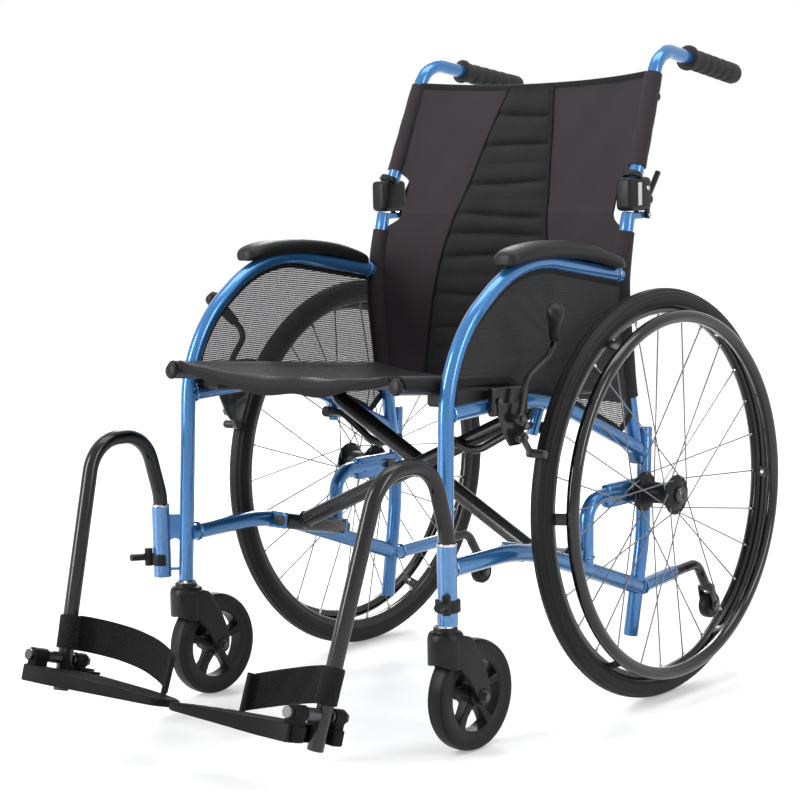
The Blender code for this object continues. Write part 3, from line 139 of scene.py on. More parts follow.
# %% [markdown]
# Two things describe a bent tube: its centre line and its section. The centre line is given as corners with a
# bending radius, the way a tube bender is set, and the section is a flat outline.

# %% Paths and sections
def bent_path(corners, bend, steps=10):
    """Straight runs between corners, joined by arcs of one radius or of one radius each."""
    corners = [Vector(point) for point in corners]
    bends = bend if isinstance(bend, list) else [bend] * (len(corners) - 2)
    path = [corners[0]]
    for before, corner, after, radius in zip(corners, corners[1:], corners[2:], bends):
        inward = (before - corner).normalized()
        onward = (after - corner).normalized()
        half = inward.angle(onward) / 2
        centre = corner + (inward + onward).normalized() * (radius / math.sin(half))
        first = corner + inward * radius / math.tan(half) - centre
        last = corner + onward * radius / math.tan(half) - centre
        sweep_angle = first.angle(last)
        for step in range(steps + 1):
            share = step / steps
            near = math.sin((1 - share) * sweep_angle) / math.sin(sweep_angle)
            far = math.sin(share * sweep_angle) / math.sin(sweep_angle)
            path.append(centre + first * near + last * far)
    path.append(corners[-1])
    return path


def refined(path, longest):
    """The same path with no run longer than this, so that a sweep has points to follow a curve with."""
    dense = [path[0]]
    for first, second in zip(path, path[1:]):
        count = max(1, math.ceil((second - first).length / longest))
        dense += [first.lerp(second, step / count) for step in range(1, count + 1)]
    return dense


def circle(radius, sides=20):
    turns = [2 * math.pi * k / sides for k in range(sides)]
    return [(radius * math.cos(turn), radius * math.sin(turn)) for turn in turns]


def rounded(width, height, corner, steps=3):
    """A flat outline of a rounded rectangle."""
    outline = []
    for quadrant, (sx, sy) in enumerate(((1, 1), (-1, 1), (-1, -1), (1, -1))):
        for step in range(steps + 1):
            turn = math.pi / 2 * (quadrant + step / steps)
            x = sx * (width / 2 - corner) + corner * math.cos(turn)
            y = sy * (height / 2 - corner) + corner * math.sin(turn)
            outline.append((x, y))
    return outline


def mirrored(half):
    """A profile of (radius, distance) pairs, from one face to the middle and on to the other face."""
    return half + [(radius, -along) for radius, along in reversed(half) if along]


print("a bend of three corners has", len(bent_path([(0, 0, 0), (0, 0, 1), (0, 1, 1)], 0.2)), "points")

# %% [markdown]
# A sweep could be a curve object with a bevel, but a mesh built ring by ring keeps webbing from twisting and can
# change its size on the way. The same rings make lofts, hoops and wrapped cloth.

# %% Sweeps and bars
def skin(form, rings, loop=False, caps=False):
    """Faces from each ring to the next. loop joins the last ring to the first, and caps closes the ends."""
    count = len(rings[0])
    for first, second in zip(rings, rings[1:] + rings[:1] if loop else rings[1:]):
        for k in range(count):
            onward = (k + 1) % count
            form.faces.new((first[k], first[onward], second[onward], second[k]))
    if caps:
        form.faces.new(rings[0])
        form.faces.new(rings[-1][::-1])
    return form


def sweep(form, path, section, closed=False, scale=None, side_on=None):
    """Carries a section along a path. scale is its size at each point, side_on the way its first axis faces."""
    count = len(path)
    tangents = []
    for index in range(count):
        before = path[index - 1] if closed or index else path[0]
        after = path[(index + 1) % count] if closed or index < count - 1 else path[-1]
        tangents.append((after - before).normalized())
    across = Vector(side_on) if side_on else tangents[0].orthogonal()
    rings = []
    for index, (point, tangent) in enumerate(zip(path, tangents)):
        wanted = Vector(side_on) if side_on else across
        across = (wanted - tangent * wanted.dot(tangent)).normalized()
        upward = tangent.cross(across)
        size = scale[index] if scale else 1.0
        rings.append([form.verts.new(point + (across * u + upward * v) * size) for u, v in section])
    return skin(form, rings, closed, not closed)


def bar(form, points, radius, bend=None, sides=20, steps=10, ends=0.0):
    """A round bar; ends rounds its two edges by that much."""
    path = bent_path(points, bend, steps) if bend else [Vector(point) for point in points]
    scale = None
    if ends:
        first, last = (path[1] - path[0]).normalized(), (path[-1] - path[-2]).normalized()
        head = [path[0], path[0] + first * ends * 0.35, path[0] + first * ends]
        tail = [path[-1] - last * ends, path[-1] - last * ends * 0.35, path[-1]]
        path = head + path[1:-1] + tail
        rim = [1 - ends / radius, 1 - 0.35 * ends / radius, 1.0]
        scale = rim + [1.0] * (len(path) - 6) + rim[::-1]
    return sweep(form, path, circle(radius, sides), scale=scale)


# %% [markdown]
# Hubs, rims, screws and grips come off a lathe or out of a round mould, so one maker turns a profile about an axis.
# Blocks and plates get eased edges at once, because a sharp edge never catches the light as a real one does.

# %% Turned parts, mouldings and plates
def turned(form, profile, centre, axis, steps=48):
    """A turned solid from (radius, distance along the axis) pairs."""
    axis = Vector(axis).normalized()
    across = axis.orthogonal().normalized()
    upward = axis.cross(across)
    rings = []
    for radius, along in profile:
        middle = Vector(centre) + axis * along
        if radius < 1e-6:
            rings.append([form.verts.new(middle)])
            continue
        ring = []
        for step in range(steps):
            turn = 2 * math.pi * step / steps
            ring.append(form.verts.new(middle + (across * math.cos(turn) + upward * math.sin(turn)) * radius))
        rings.append(ring)
    closed = profile[0][0] > 1e-6
    pairs = list(zip(rings, rings[1:])) + ([(rings[-1], rings[0])] if closed else [])
    for first, second in pairs:
        for step in range(steps if max(len(first), len(second)) > 1 else 0):
            onward = (step + 1) % steps
            if len(first) == 1:
                form.faces.new((first[0], second[onward], second[step]))
            elif len(second) == 1:
                form.faces.new((first[step], first[onward], second[0]))
            else:
                form.faces.new((first[step], first[onward], second[onward], second[step]))
    return form


def disc(form, radius, height, centre, axis, steps, below=0.0):
    """A plain round or six-sided disc that stands on a face."""
    return turned(form, [(0, -below), (radius, -below), (radius, height), (0, height)], centre, axis, steps)


def moulding(form, centre, size, bevel, turn=None, steps=3):
    """A block with rounded edges."""
    place = Matrix.Translation(centre) @ (turn or Matrix()) @ Matrix.Diagonal((*size, 1.0))
    made = bmesh.ops.create_cube(form, size=1.0, matrix=place)
    edges = list(dict.fromkeys(edge for vert in made["verts"] for edge in vert.link_edges))
    bmesh.ops.bevel(form, geom=edges, offset=bevel, segments=steps, profile=0.5, affect="EDGES")
    return form


# Stands a flat outline upright, with its first axis pointing backwards and its second one upwards.
SIDEWAYS = Matrix(((0, 0, 1, 0), (1, 0, 0, 0), (0, 1, 0, 0), (0, 0, 0, 1)))


def plate(form, outline, thickness, place, bevel=0.0):
    """A flat outline cut from sheet of this thickness, with its rims eased."""
    half = thickness / 2
    low = [form.verts.new(place @ Vector((x, y, -half))) for x, y in outline]
    high = [form.verts.new(place @ Vector((x, y, half))) for x, y in outline]
    faces = [form.faces.new(low[::-1]), form.faces.new(high)]
    skin(form, [low, high])
    if bevel:
        rims = dict.fromkeys(edge for face in faces for edge in face.edges)
        bmesh.ops.bevel(form, geom=list(rims), offset=bevel, segments=2, profile=0.5, affect="EDGES")
    return form


# %% [markdown]
# Cloth is a grid of points on its middle surface, thickened to both sides along its own normals and closed round
# the rim. A real sheet has two faces and an edge, and so does this one.

# %% Cloth from rows of points
def cloth(form, rows, thickness):
    """A closed sheet of cloth about a grid of points."""
    columns = len(rows[0])
    normals = []
    for i, row in enumerate(rows):
        normal_row = []
        for j in range(columns):
            down = rows[min(i + 1, len(rows) - 1)][j] - rows[max(i - 1, 0)][j]
            right = row[min(j + 1, columns - 1)] - row[max(j - 1, 0)]
            normal_row.append(down.cross(right).normalized())
        normals.append(normal_row)
    layers = []
    for offset in (-thickness / 2, thickness / 2):
        layers.append([[form.verts.new(p + n * offset) for p, n in zip(r, l)] for r, l in zip(rows, normals)])
    back, front = layers
    for i in range(len(rows) - 1):
        for j in range(columns - 1):
            form.faces.new((back[i][j], back[i][j + 1], back[i + 1][j + 1], back[i + 1][j]))
            form.faces.new((front[i][j], front[i + 1][j], front[i + 1][j + 1], front[i][j + 1]))
    for i in range(len(rows) - 1):
        form.faces.new((back[i][0], back[i + 1][0], front[i + 1][0], front[i][0]))
        form.faces.new((back[i][-1], front[i][-1], front[i + 1][-1], back[i + 1][-1]))
    for j in range(columns - 1):
        form.faces.new((back[0][j], front[0][j], front[0][j + 1], back[0][j + 1]))
        form.faces.new((back[-1][j], back[-1][j + 1], front[-1][j + 1], front[-1][j]))
    return form


print("a webbing section has", len(rounded(0.004, 0.05, 0.002)), "corners")

# %% [markdown]
# ## Finishes
#
# Six effects come back in many finishes: the grain of moulded plastic, the crossing threads of a weave,
# bare edges, dust in the upward faces, faint wiping marks in the gloss, and the flake in a lacquer. The weave
# also paints shade and highlight into the cloth's colour, darker in the hollows between threads and lighter on
# their tops. Each is a node group with its own inputs, built once and set differently in every material. All of
# them read object coordinates in metres, so a thread is 0.6 mm wide on every piece, whatever its shape.


# %% Node helpers
def fill(tree, socket, value):
    """Links an input to the socket that feeds it, or gives it a plain value."""
    if isinstance(value, bpy.types.NodeSocket):
        tree.links.new(value, socket)
    else:
        socket.default_value = value


def node(tree, kind, inputs=None, **settings):
    """Adds a shader node; an input is given a value or the socket that feeds it."""
    made = tree.nodes.new(kind)
    for key, value in settings.items():
        setattr(made, key, value)
    for key, value in (inputs or {}).items():
        fill(tree, made.inputs[key], value)
    return made


def maths(tree, operation, first, second=0.0, third=0.0):
    return node(tree, "ShaderNodeMath", {0: first, 1: second, 2: third}, operation=operation).outputs[0]


def new_group(name, inputs, outputs):
    """An empty node group with float inputs and outputs, and the sockets of both ends."""
    tree = bpy.data.node_groups.new(name, "ShaderNodeTree")
    for label, value in inputs.items():
        tree.interface.new_socket(label, in_out="INPUT", socket_type="NodeSocketFloat").default_value = value
    for label in outputs:
        tree.interface.new_socket(label, in_out="OUTPUT", socket_type="NodeSocketFloat")
    start = tree.nodes.new("NodeGroupInput")
    end = tree.nodes.new("NodeGroupOutput")
    return tree, start.outputs, end


def object_place(tree):
    return tree.nodes.new("ShaderNodeTexCoord").outputs["Object"]


def noise_of(tree, scale, detail, place=None):
    """A noise texture's value, in the object's own coordinates unless another place is given."""
    settings = {"Vector": place or object_place(tree), "Scale": scale, "Detail": detail}
    return node(tree, "ShaderNodeTexNoise", settings).outputs["Fac"]


def face_up(tree):
    """How far a face looks upwards: 1 for a level top, 0 for a wall."""
    normal = tree.nodes.new("ShaderNodeNewGeometry").outputs["Normal"]
    return node(tree, "ShaderNodeSeparateXYZ", {0: normal}).outputs["Z"]


# %% The effects as node groups
GRAIN, given, end = new_group("Moulded grain", {"Scale": 900.0, "Unevenness": 0.5}, ["Height", "Tone"])
cells = node(GRAIN, "ShaderNodeTexVoronoi", {"Vector": object_place(GRAIN), "Scale": given["Scale"]})
GRAIN.links.new(cells.outputs["Distance"], end.inputs["Height"])
spread = maths(GRAIN, "MULTIPLY", maths(GRAIN, "SUBTRACT", noise_of(GRAIN, 22.0, 4.0), 0.5), given["Unevenness"])
GRAIN.links.new(maths(GRAIN, "ADD", spread, 0.5), end.inputs["Tone"])

# Height is the relief of the threads; woven() also colours by it, as painted shade in the hollows and painted highlight
# on the thread tops.
WEAVE, given, end = new_group("Woven threads", {"Across": 0.0, "Along": 0.0, "Pitch": 0.001}, ["Height", "Thread"])
turns = [maths(WEAVE, "DIVIDE", given[axis], given["Pitch"]) for axis in ("Across", "Along")]
waves = [maths(WEAVE, "SINE", maths(WEAVE, "MULTIPLY", turn, math.pi)) for turn in turns]
humps = [maths(WEAVE, "ABSOLUTE", wave) for wave in waves]
cells = [maths(WEAVE, "FLOOR", turn) for turn in turns]
over = maths(WEAVE, "ABSOLUTE", maths(WEAVE, "MODULO", maths(WEAVE, "ADD", *cells), 2.0))
warp = maths(WEAVE, "MULTIPLY", humps[0], over)
weft = maths(WEAVE, "MULTIPLY", humps[1], maths(WEAVE, "SUBTRACT", 1.0, over))
WEAVE.links.new(maths(WEAVE, "ADD", warp, weft), end.inputs["Height"])
WEAVE.links.new(maths(WEAVE, "MULTIPLY", humps[0], humps[1]), end.inputs["Thread"])

WEAR, given, end = new_group("Edge wear", {"Amount": 0.5, "Sharpness": 14.0}, ["Mask"])
pointed = WEAR.nodes.new("ShaderNodeNewGeometry").outputs["Pointiness"]
chips = noise_of(WEAR, 160.0, 6.0)
rim = maths(WEAR, "MULTIPLY", maths(WEAR, "SUBTRACT", pointed, 0.53), given["Sharpness"])
broken = maths(WEAR, "MULTIPLY", rim, maths(WEAR, "MULTIPLY", chips, given["Amount"]))
WEAR.links.new(node(WEAR, "ShaderNodeClamp", {"Value": broken}).outputs[0], end.inputs["Mask"])

DUST, given, end = new_group("Settled dust", {"Amount": 0.3, "Scale": 30.0}, ["Mask"])
drift = noise_of(DUST, given["Scale"], 8.0)
settled = maths(DUST, "MULTIPLY", maths(DUST, "MAXIMUM", face_up(DUST), 0.0), maths(DUST, "POWER", drift, 2.0))
DUST.links.new(maths(DUST, "MULTIPLY", settled, given["Amount"]), end.inputs["Mask"])

WIPE, given, end = new_group("Wiping marks", {"Roughness": 0.3, "Spread": 0.08}, ["Roughness", "Height"])
stretched = node(WIPE, "ShaderNodeMapping", {"Vector": object_place(WIPE), "Scale": (40.0, 40.0, 9.0)}).outputs[0]
swing = maths(WIPE, "MULTIPLY", maths(WIPE, "SUBTRACT", noise_of(WIPE, 3.0, 8.0, stretched), 0.5), given["Spread"])
WIPE.links.new(maths(WIPE, "ADD", given["Roughness"], swing), end.inputs["Roughness"])
WIPE.links.new(noise_of(WIPE, 420.0, 2.0), end.inputs["Height"])

FLAKE, given, end = new_group("Lacquer flake", {"Size": 0.0006}, ["Sparkle"])
inverse = maths(FLAKE, "DIVIDE", 1.0, given["Size"])
specks = node(FLAKE, "ShaderNodeTexVoronoi", {"Vector": object_place(FLAKE), "Scale": inverse})
red = node(FLAKE, "ShaderNodeSeparateColor", {0: specks.outputs["Color"]}).outputs[0]
FLAKE.links.new(red, end.inputs["Sparkle"])
print("node groups:", [tree.name for tree in bpy.data.node_groups])

# %% [markdown]
# A finish starts as one Principled shader with its plain numbers, and the effects then feed its colour,
# roughness and bump. The helper below keeps that order for every material, so the numbers that differ are
# easy to read side by side.


# %% A material with effects
def use(tree, group_tree, **values):
    """Places a node group in a material with these values, and gives its outputs."""
    made = node(tree, "ShaderNodeGroup", node_tree=group_tree)
    for key, value in values.items():
        fill(tree, made.inputs[key], value)
    return made.outputs


def blended(tree, share, first, second):
    """A colour between two others."""
    made = node(tree, "ShaderNodeMix", data_type="RGBA")
    for socket, value in ((0, share), (6, first), (7, second)):
        fill(tree, made.inputs[socket], (*value, 1.0) if isinstance(value, tuple) else value)
    return made.outputs[2]


def finish(name, colour, roughness, metallic=0.0, **plain):
    """A material with one Principled shader. Further sockets are named with _ for each space."""
    made = bpy.data.materials.new(name)
    made.use_nodes = True
    shader = made.node_tree.nodes["Principled BSDF"]
    shader.inputs["Base Color"].default_value = (*colour, 1.0)
    shader.inputs["Roughness"].default_value = roughness
    shader.inputs["Metallic"].default_value = metallic
    for key, value in plain.items():
        shader.inputs[key.replace("_", " ")].default_value = value
    return made, made.node_tree, shader


def feed(tree, shader, socket, value):
    tree.links.new(value, shader.inputs[socket])


def scaled(colour, factor):
    return tuple(c * factor for c in colour)


def dusted(tree, shader, colour, amount, dust):
    """Gives the shader its colour, with dust lying on what faces up."""
    feed(tree, shader, "Base Color", blended(tree, use(tree, DUST, Amount=amount)["Mask"], colour, dust))


def bump(tree, shader, height, distance, strength=1.0):
    made = node(tree, "ShaderNodeBump", {"Height": height, "Distance": distance, "Strength": strength})
    tree.links.new(made.outputs[0], shader.inputs["Normal"])


def moulded(name, colour, roughness, scale=900.0, depth=0.00006, dust=0.05, worn=0.25, shine=0.20):
    """Moulded plastic or rubber: grain, a little dust on top and paler edges."""
    made, tree, shader = finish(name, colour, roughness, Specular_IOR_Level=shine)
    grain = use(tree, GRAIN, Scale=scale)
    pale = tuple(min(1.0, c * 2.2 + 0.02) for c in colour)
    tone = blended(tree, grain["Tone"], scaled(colour, 0.7), scaled(colour, 1.3))
    edged = blended(tree, use(tree, WEAR, Amount=worn)["Mask"], tone, pale)
    dusted(tree, shader, edged, dust, (0.32, 0.31, 0.30))
    feed(tree, shader, "Roughness", use(tree, WIPE, Roughness=roughness, Spread=0.12)["Roughness"])
    bump(tree, shader, grain["Height"], depth)
    return made


def lacquered(name, colour, roughness, metallic, coat, flake=0.25, dust=0.03):
    """Sprayed lacquer over metal, with flake, faint orange peel and wiping marks."""
    plain = {"Specular_IOR_Level": 0.32, "Coat_Weight": coat, "Coat_Roughness": 0.05}
    made, tree, shader = finish(name, colour, roughness, metallic, **plain)
    dark, light = scaled(colour, 1 - flake), scaled(colour, 1 + flake)
    flaked = blended(tree, use(tree, FLAKE)["Sparkle"], dark, light)
    edged = blended(tree, use(tree, WEAR, Amount=0.15)["Mask"], flaked, (0.45, 0.46, 0.48))
    dusted(tree, shader, edged, dust, (0.35, 0.34, 0.33))
    wiped = use(tree, WIPE, Roughness=roughness, Spread=0.10)
    feed(tree, shader, "Roughness", wiped["Roughness"])
    bump(tree, shader, wiped["Height"], 0.00004, 0.5)
    return made


def metal(name, colour, roughness, worn=0.1):
    made, tree, shader = finish(name, colour, roughness, 1.0)
    grain = use(tree, GRAIN, Scale=500.0)
    feed(tree, shader, "Base Color", blended(tree, grain["Tone"], scaled(colour, 0.85), colour))
    feed(tree, shader, "Roughness", use(tree, WIPE, Roughness=roughness, Spread=0.16)["Roughness"])
    bump(tree, shader, grain["Height"], 0.00002, worn)
    return made


def woven(name, colour, plane, pitch, depth, thread_relief_shade=0.45, roughness=0.8, sheen=0.25, cover=None):
    """Cloth whose threads run along two of the object's axes, its colour painted darker in their hollows and lighter on
    their tops as shade and highlight. cover makes the gaps of a net see-through.
    """
    plain = {"Specular_IOR_Level": 0.12, "Sheen_Weight": sheen, "Sheen_Roughness": 0.5}
    made, tree, shader = finish(name, colour, roughness, **plain)
    axes = node(tree, "ShaderNodeSeparateXYZ", {0: object_place(tree)}).outputs
    threads = use(tree, WEAVE, Across=axes[plane[0]], Along=axes[plane[1]], Pitch=pitch)
    grain = use(tree, GRAIN, Scale=60.0, Unevenness=0.8)
    # Painted shade and highlight: the colour runs from dark in the weave's hollows to light on the thread tops, by the
    # relief height.
    low, high = scaled(colour, 1 - thread_relief_shade), scaled(colour, 1 + thread_relief_shade)
    thread = blended(tree, threads["Height"], low, high)
    cloudy = blended(tree, grain["Tone"], scaled(colour, 0.8), thread)
    dusted(tree, shader, cloudy, 0.04, (0.3, 0.3, 0.3))
    bump(tree, shader, threads["Height"], depth)
    if cover is not None:
        gap = maths(tree, "GREATER_THAN", threads["Thread"], cover)
        feed(tree, shader, "Alpha", maths(tree, "SUBTRACT", 1.0, gap))
    return made


# %% [markdown]
# The frame wears a bright blue metallic lacquer; hangers, brace and wheel rims are black. The cloths differ
# more than they seem at first: smooth nylon at the sides of the back, a spacer knit down its middle, a net in
# the side guards that lets the floor show through, and ribbed webbing behind the heels.

# %% All finishes
BLUE = lacquered("blue_lacquer", (0.028, 0.155, 0.385), 0.24, 0.55, 0.7)
BLACK = lacquered("black_lacquer", (0.0035, 0.0035, 0.0038), 0.22, 0.0, 0.10, flake=0.1, dust=0.0)
GLOSS = lacquered("gloss_black", (0.003, 0.003, 0.0032), 0.13, 0.0, 0.30, flake=0.05, dust=0.0)
PLASTIC = moulded("black_plastic", (0.0065, 0.0065, 0.0068), 0.40, dust=0.01)
MATT = moulded("matt_plastic", (0.0050, 0.0050, 0.0053), 0.50, dust=0.0, worn=0.6, shine=0.06)
PAD = moulded("armrest_foam", (0.010, 0.010, 0.0105), 0.42, scale=700.0, depth=0.00010)
GRIP = moulded("grip_rubber", (0.022, 0.0215, 0.022), 0.70, scale=1400.0)
TYRE = moulded("tyre_rubber", (0.0055, 0.0055, 0.0055), 0.50, scale=1800.0, dust=0.05, worn=1.0)
CASTER_RUBBER = moulded("caster_rubber", (0.005, 0.005, 0.005), 0.46, scale=1500.0, dust=0.02)
INSERT = moulded("grey_insert", (0.46, 0.47, 0.48), 0.45)
STEEL = metal("bright_steel", (0.66, 0.66, 0.68), 0.22)
SPOKE = metal("spoke_steel", (0.20, 0.20, 0.21), 0.30)
ZINC = metal("dark_bolt", (0.09, 0.09, 0.095), 0.38)
NYLON = woven(
    "nylon_panel", (0.025, 0.0205, 0.0235), ("X", "Z"), 0.00055, 0.00008,
    thread_relief_shade=0.2, roughness=0.62, sheen=0.05
)
KNIT = woven(
    "spacer_knit", (0.013, 0.013, 0.0135), ("X", "Z"), 0.0026, 0.0007,
    thread_relief_shade=0.8, roughness=0.75, sheen=0.03
)
SEAT = woven(
    "seat_nylon", (0.011, 0.0100, 0.0108), ("X", "Y"), 0.0006, 0.00010,
    thread_relief_shade=0.25, roughness=0.46, sheen=0.04
)
NET = woven(
    "guard_net", (0.050, 0.050, 0.052), ("Y", "Z"), 0.0030, 0.0004,
    thread_relief_shade=0.6, roughness=0.6, sheen=0.05, cover=0.42
)
BINDING = woven("binding_tape", (0.011, 0.011, 0.0115), ("Y", "Z"), 0.0011, 0.00015, roughness=0.7, sheen=0.03)
WEBBING = woven(
    "heel_webbing", (0.009, 0.009, 0.0095), ("X", "Z"), 0.0026, 0.0009,
    thread_relief_shade=0.8, roughness=0.85, sheen=0.02
)
THREAD = finish("stitching", (0.030, 0.028, 0.029), 0.7)[0]
print("finishes:", len(bpy.data.materials))

# %% [markdown]
# ## The side frames
#
# Each side frame is welded from bent aluminium tube. The upright runs over into the armrest arc in one piece,
# the seat rail and the lower rail droop towards the back, and a short rear post and cane carry the axle and the
# backrest. The paths below are the real centre lines; sweeping a 24-sided ring along them gives tubes whose
# outline looks round from any side. A small bead of weld closes each joint.

# %% Frame centre lines
TUBE = 0.011
RAIL_TUBE = 0.0125
FRAME_X = 0.250
CANE_X = 0.243
ARC = [(0.255, -0.449, 0.184), (0.250, -0.431, 0.550), (0.250, -0.269, 0.670), (0.246, -0.026, 0.629)]
SEAT_RAIL = [(0.250, -0.436, 0.464), (0.250, -0.225, 0.473), (0.250, 0.024, 0.362)]
LOWER_RAIL = [(0.250, -0.443, 0.255), (0.250, -0.270, 0.258), (0.250, 0.016, 0.154)]
AXLE_TUBE = [(0.250, -0.121, 0.205), (0.250, -0.119, 0.307), (0.250, 0.030, 0.305)]
POST = [(0.246, -0.004, 0.082), (0.250, 0.024, 0.230), (0.250, 0.033, 0.398)]
LOWER_CANE = [(0.246, 0.017, 0.345), (0.243, 0.000, 0.455), (0.243, -0.021, 0.620), (0.243, 0.004, 0.7204)]
UPPER_CANE = [(0.243, 0.008, 0.728), (0.230, 0.105, 0.966), (0.219, 0.333, 0.9315)]
TIP_TUBE = [(0.246, 0.012, 0.152), (0.238, 0.124, 0.157)]
WHEEL_Z = 0.305
TILT = math.radians(12.25)
FOLD_AXIS = Vector((0, math.cos(TILT), -math.sin(TILT)))
FOLD_UP = Vector((0, math.sin(TILT), math.cos(TILT)))


def line(side, corners):
    return [on(side, *corner) for corner in corners]


def brace_point(x, up, along):
    """A point across, above and along the tilted axis that the cross brace folds about."""
    return at(x, -0.218, 0.240) + FOLD_UP * up + FOLD_AXIS * along


def bead(form, point, direction, radius, thick=0.0022):
    """The ripple of weld round the end of a tube."""
    direction = Vector(direction).normalized()
    across = direction.orthogonal().normalized()
    upward = direction.cross(across)
    path = []
    for step in range(36):
        turn = 2 * math.pi * step / 36
        ripple = 1 + 0.035 * math.sin(9 * turn)
        path.append(Vector(point) + (across * math.cos(turn) + upward * math.sin(turn)) * radius * ripple)
    return sweep(form, path, circle(thick, 8), closed=True)


def side_frame(side):
    form = bmesh.new()
    bar(form, line(side, ARC), TUBE, 0.20, 24, 16)
    bar(form, line(side, SEAT_RAIL), TUBE, 0.40, 24)
    bar(form, line(side, LOWER_RAIL), RAIL_TUBE, 0.35, 24)
    bar(form, line(side, AXLE_TUBE), TUBE, 0.036, 24)
    bar(form, line(side, POST), TUBE, 0.35, 24, ends=0.002)
    bar(form, line(side, LOWER_CANE), TUBE, 0.30, 24, ends=0.002)
    bar(form, line(side, TIP_TUBE), TUBE, None, 24)
    moulding(form, on(side, FRAME_X, -0.024, WHEEL_Z), (0.018, 0.100, 0.036), 0.007)
    beads = [
        ((0.250, -0.425, 0.4645), (0, 1, 0.04), TUBE),
        ((0.250, 0.017, 0.366), (0, 1, -0.6), TUBE),
        ((0.250, -0.428, 0.2555), (0, 1, 0.02), RAIL_TUBE),
        ((0.250, -0.120, 0.222), (0, 0, 1), TUBE),
        ((0.250, 0.017, 0.305), (0, 1, 0), TUBE),
        ((0.246, -0.036, 0.631), (0, 1, -0.2), TUBE),
        ((0.250, 0.012, 0.156), (0, 1, -0.35), RAIL_TUBE),
        ((0.245, 0.030, 0.1528), (0, 1, 0.05), TUBE),
    ]
    for point, direction, radius in beads:
        bead(form, on(side, *point), direction, radius)
    for along in (-0.0558, 0.0838):
        place = Matrix.Rotation(-TILT, 4, "X")
        moulding(form, brace_point(side * 0.2335, 0, along), (0.042, 0.007, 0.026), 0.003, place)
    offset = -side * 0.0500
    stub = [brace_point(side * 0.246, 0.2105, offset), brace_point(side * 0.238, 0.1675, offset)]
    bar(form, stub, 0.008, ends=0.0015)
    moulding(form, on(side, CANE_X, 0.018, 0.7155), (0.014, 0.040, 0.010), 0.002)
    disc(form, 0.0055, 0.007, on(side, CANE_X, 0.041, 0.716), (1, 0, 0), 20, below=0.007)
    return form


for side in SIDES:
    dress(side, "frame_tubes", side_frame(side), BLUE, "frame", "side_frame")
print("side frames dressed")

# %% [markdown]
# In front of the upright sits the footrest socket, an open tube on a bent gusset plate with an arched cut-out.
# A socket must look hollow from above, so its tube is turned as a wall with an inner face, and a bright ring of
# bare metal marks its mouth. The same bare ring shows where the caster stem meets the upright.

# %% Footrest sockets, gussets and bright rings
SOCKET = (0.280, -0.473)
GUSSET = (0.2655, -0.459)


def gusset_turn(side):
    """The gusset's plate runs from the upright to the socket, aslant."""
    return Matrix.Rotation(math.atan2(-0.028, side * 0.029), 4, "Z")


def socket_tube(form, side):
    wall = [(0.0135, 0.190), (0.0135, 0.2975), (0.0116, 0.2975), (0.0116, 0.202), (0.0080, 0.202), (0.0080, 0.190)]
    return turned(form, wall, on(side, *SOCKET[:2], 0), (0, 0, 1), 32)


def gusset(form, side):
    outline = [(-0.020, -0.046), (-0.013, -0.046), (-0.012, -0.016)]
    outline += [(0.011 * math.cos(t), -0.010 + 0.013 * math.sin(t)) for t in (2.6, 2.1, 1.57, 1.04, 0.54)]
    outline += [(0.012, -0.016), (0.013, -0.046), (0.020, -0.046), (0.020, 0.036), (-0.020, 0.036)]
    place = Matrix.Translation(on(side, *GUSSET, 0.246)) @ gusset_turn(side)
    return plate(form, outline, 0.005, place @ Matrix.Rotation(math.radians(90), 4, "X"), 0.001)


for side in SIDES:
    form = gusset(socket_tube(bmesh.new(), side), side)
    for height in (0.288, 0.207):
        moulding(form, on(side, *GUSSET, height - 0.006), (0.030, 0.007, 0.004), 0.0015, gusset_turn(side))
    dress(side, "footrest_socket", form, BLUE, "frame")
    rings = bmesh.new()
    mouth = [(0.0119, 0.2978), (0.0138, 0.2970), (0.0142, 0.2985), (0.0132, 0.3002), (0.0119, 0.2998)]
    turned(rings, mouth, on(side, *SOCKET[:2], 0), (0, 0, 1), 40)
    stem = [(0.0080, 0.1795), (0.0145, 0.1795), (0.0150, 0.1812), (0.0120, 0.1838), (0.0080, 0.1838)]
    turned(rings, stem, on(side, 0.255, -0.449, 0), (0, 0, 1), 40)
    dress(side, "bright_rings", rings, STEEL, "frame")
    # Thin dark discs. The four on the faces of the axle plate are painted shade: they stand in for the dark insides of
    # the plate's holes.
    marks = bmesh.new()
    plug = [(0, 0), (0.0032, 0), (0.0030, 0.0008), (0, 0.0008)]
    turned(marks, plug, on(side, 0.2665, -0.4485, 0.209), (side, 0, 0), 16)
    for y in (-0.058, -0.029):
        for face in (-1, 1):
            spot = on(side, FRAME_X + face * 0.0092, y, WHEEL_Z)
            disc(marks, 0.0058, 0.0005, spot, (side * face, 0, 0), 20)
    dress(side, "frame_hole_shade", marks, PLASTIC, "frame")
print("sockets, rings and hole plugs done")

# %% [markdown]
# The armrest pad is self-skinned foam: long, crowned, a little wider at the front and drooping over the arc at
# both ends. A loft of rounded sections gives that shape directly, and the parting line of its mould is a
# shallow groove low on the side.

# %% Armrest pads
PAD_STATIONS = [
    (-0.3125, 0.6640, 0.30, 0.42),
    (-0.3100, 0.6655, 0.72, 0.72),
    (-0.3020, 0.6680, 0.94, 0.92),
    (-0.2850, 0.6715, 1.04, 1.00),
    (-0.2500, 0.6755, 1.05, 1.02),
    (-0.2150, 0.6765, 1.02, 1.00),
    (-0.1700, 0.6745, 1.00, 0.98),
    (-0.1200, 0.6685, 0.98, 0.95),
    (-0.0800, 0.6590, 0.96, 0.88),
    (-0.0560, 0.6520, 0.94, 0.80),
    (-0.0430, 0.6480, 0.86, 0.66),
    (-0.0385, 0.6465, 0.55, 0.38),
]


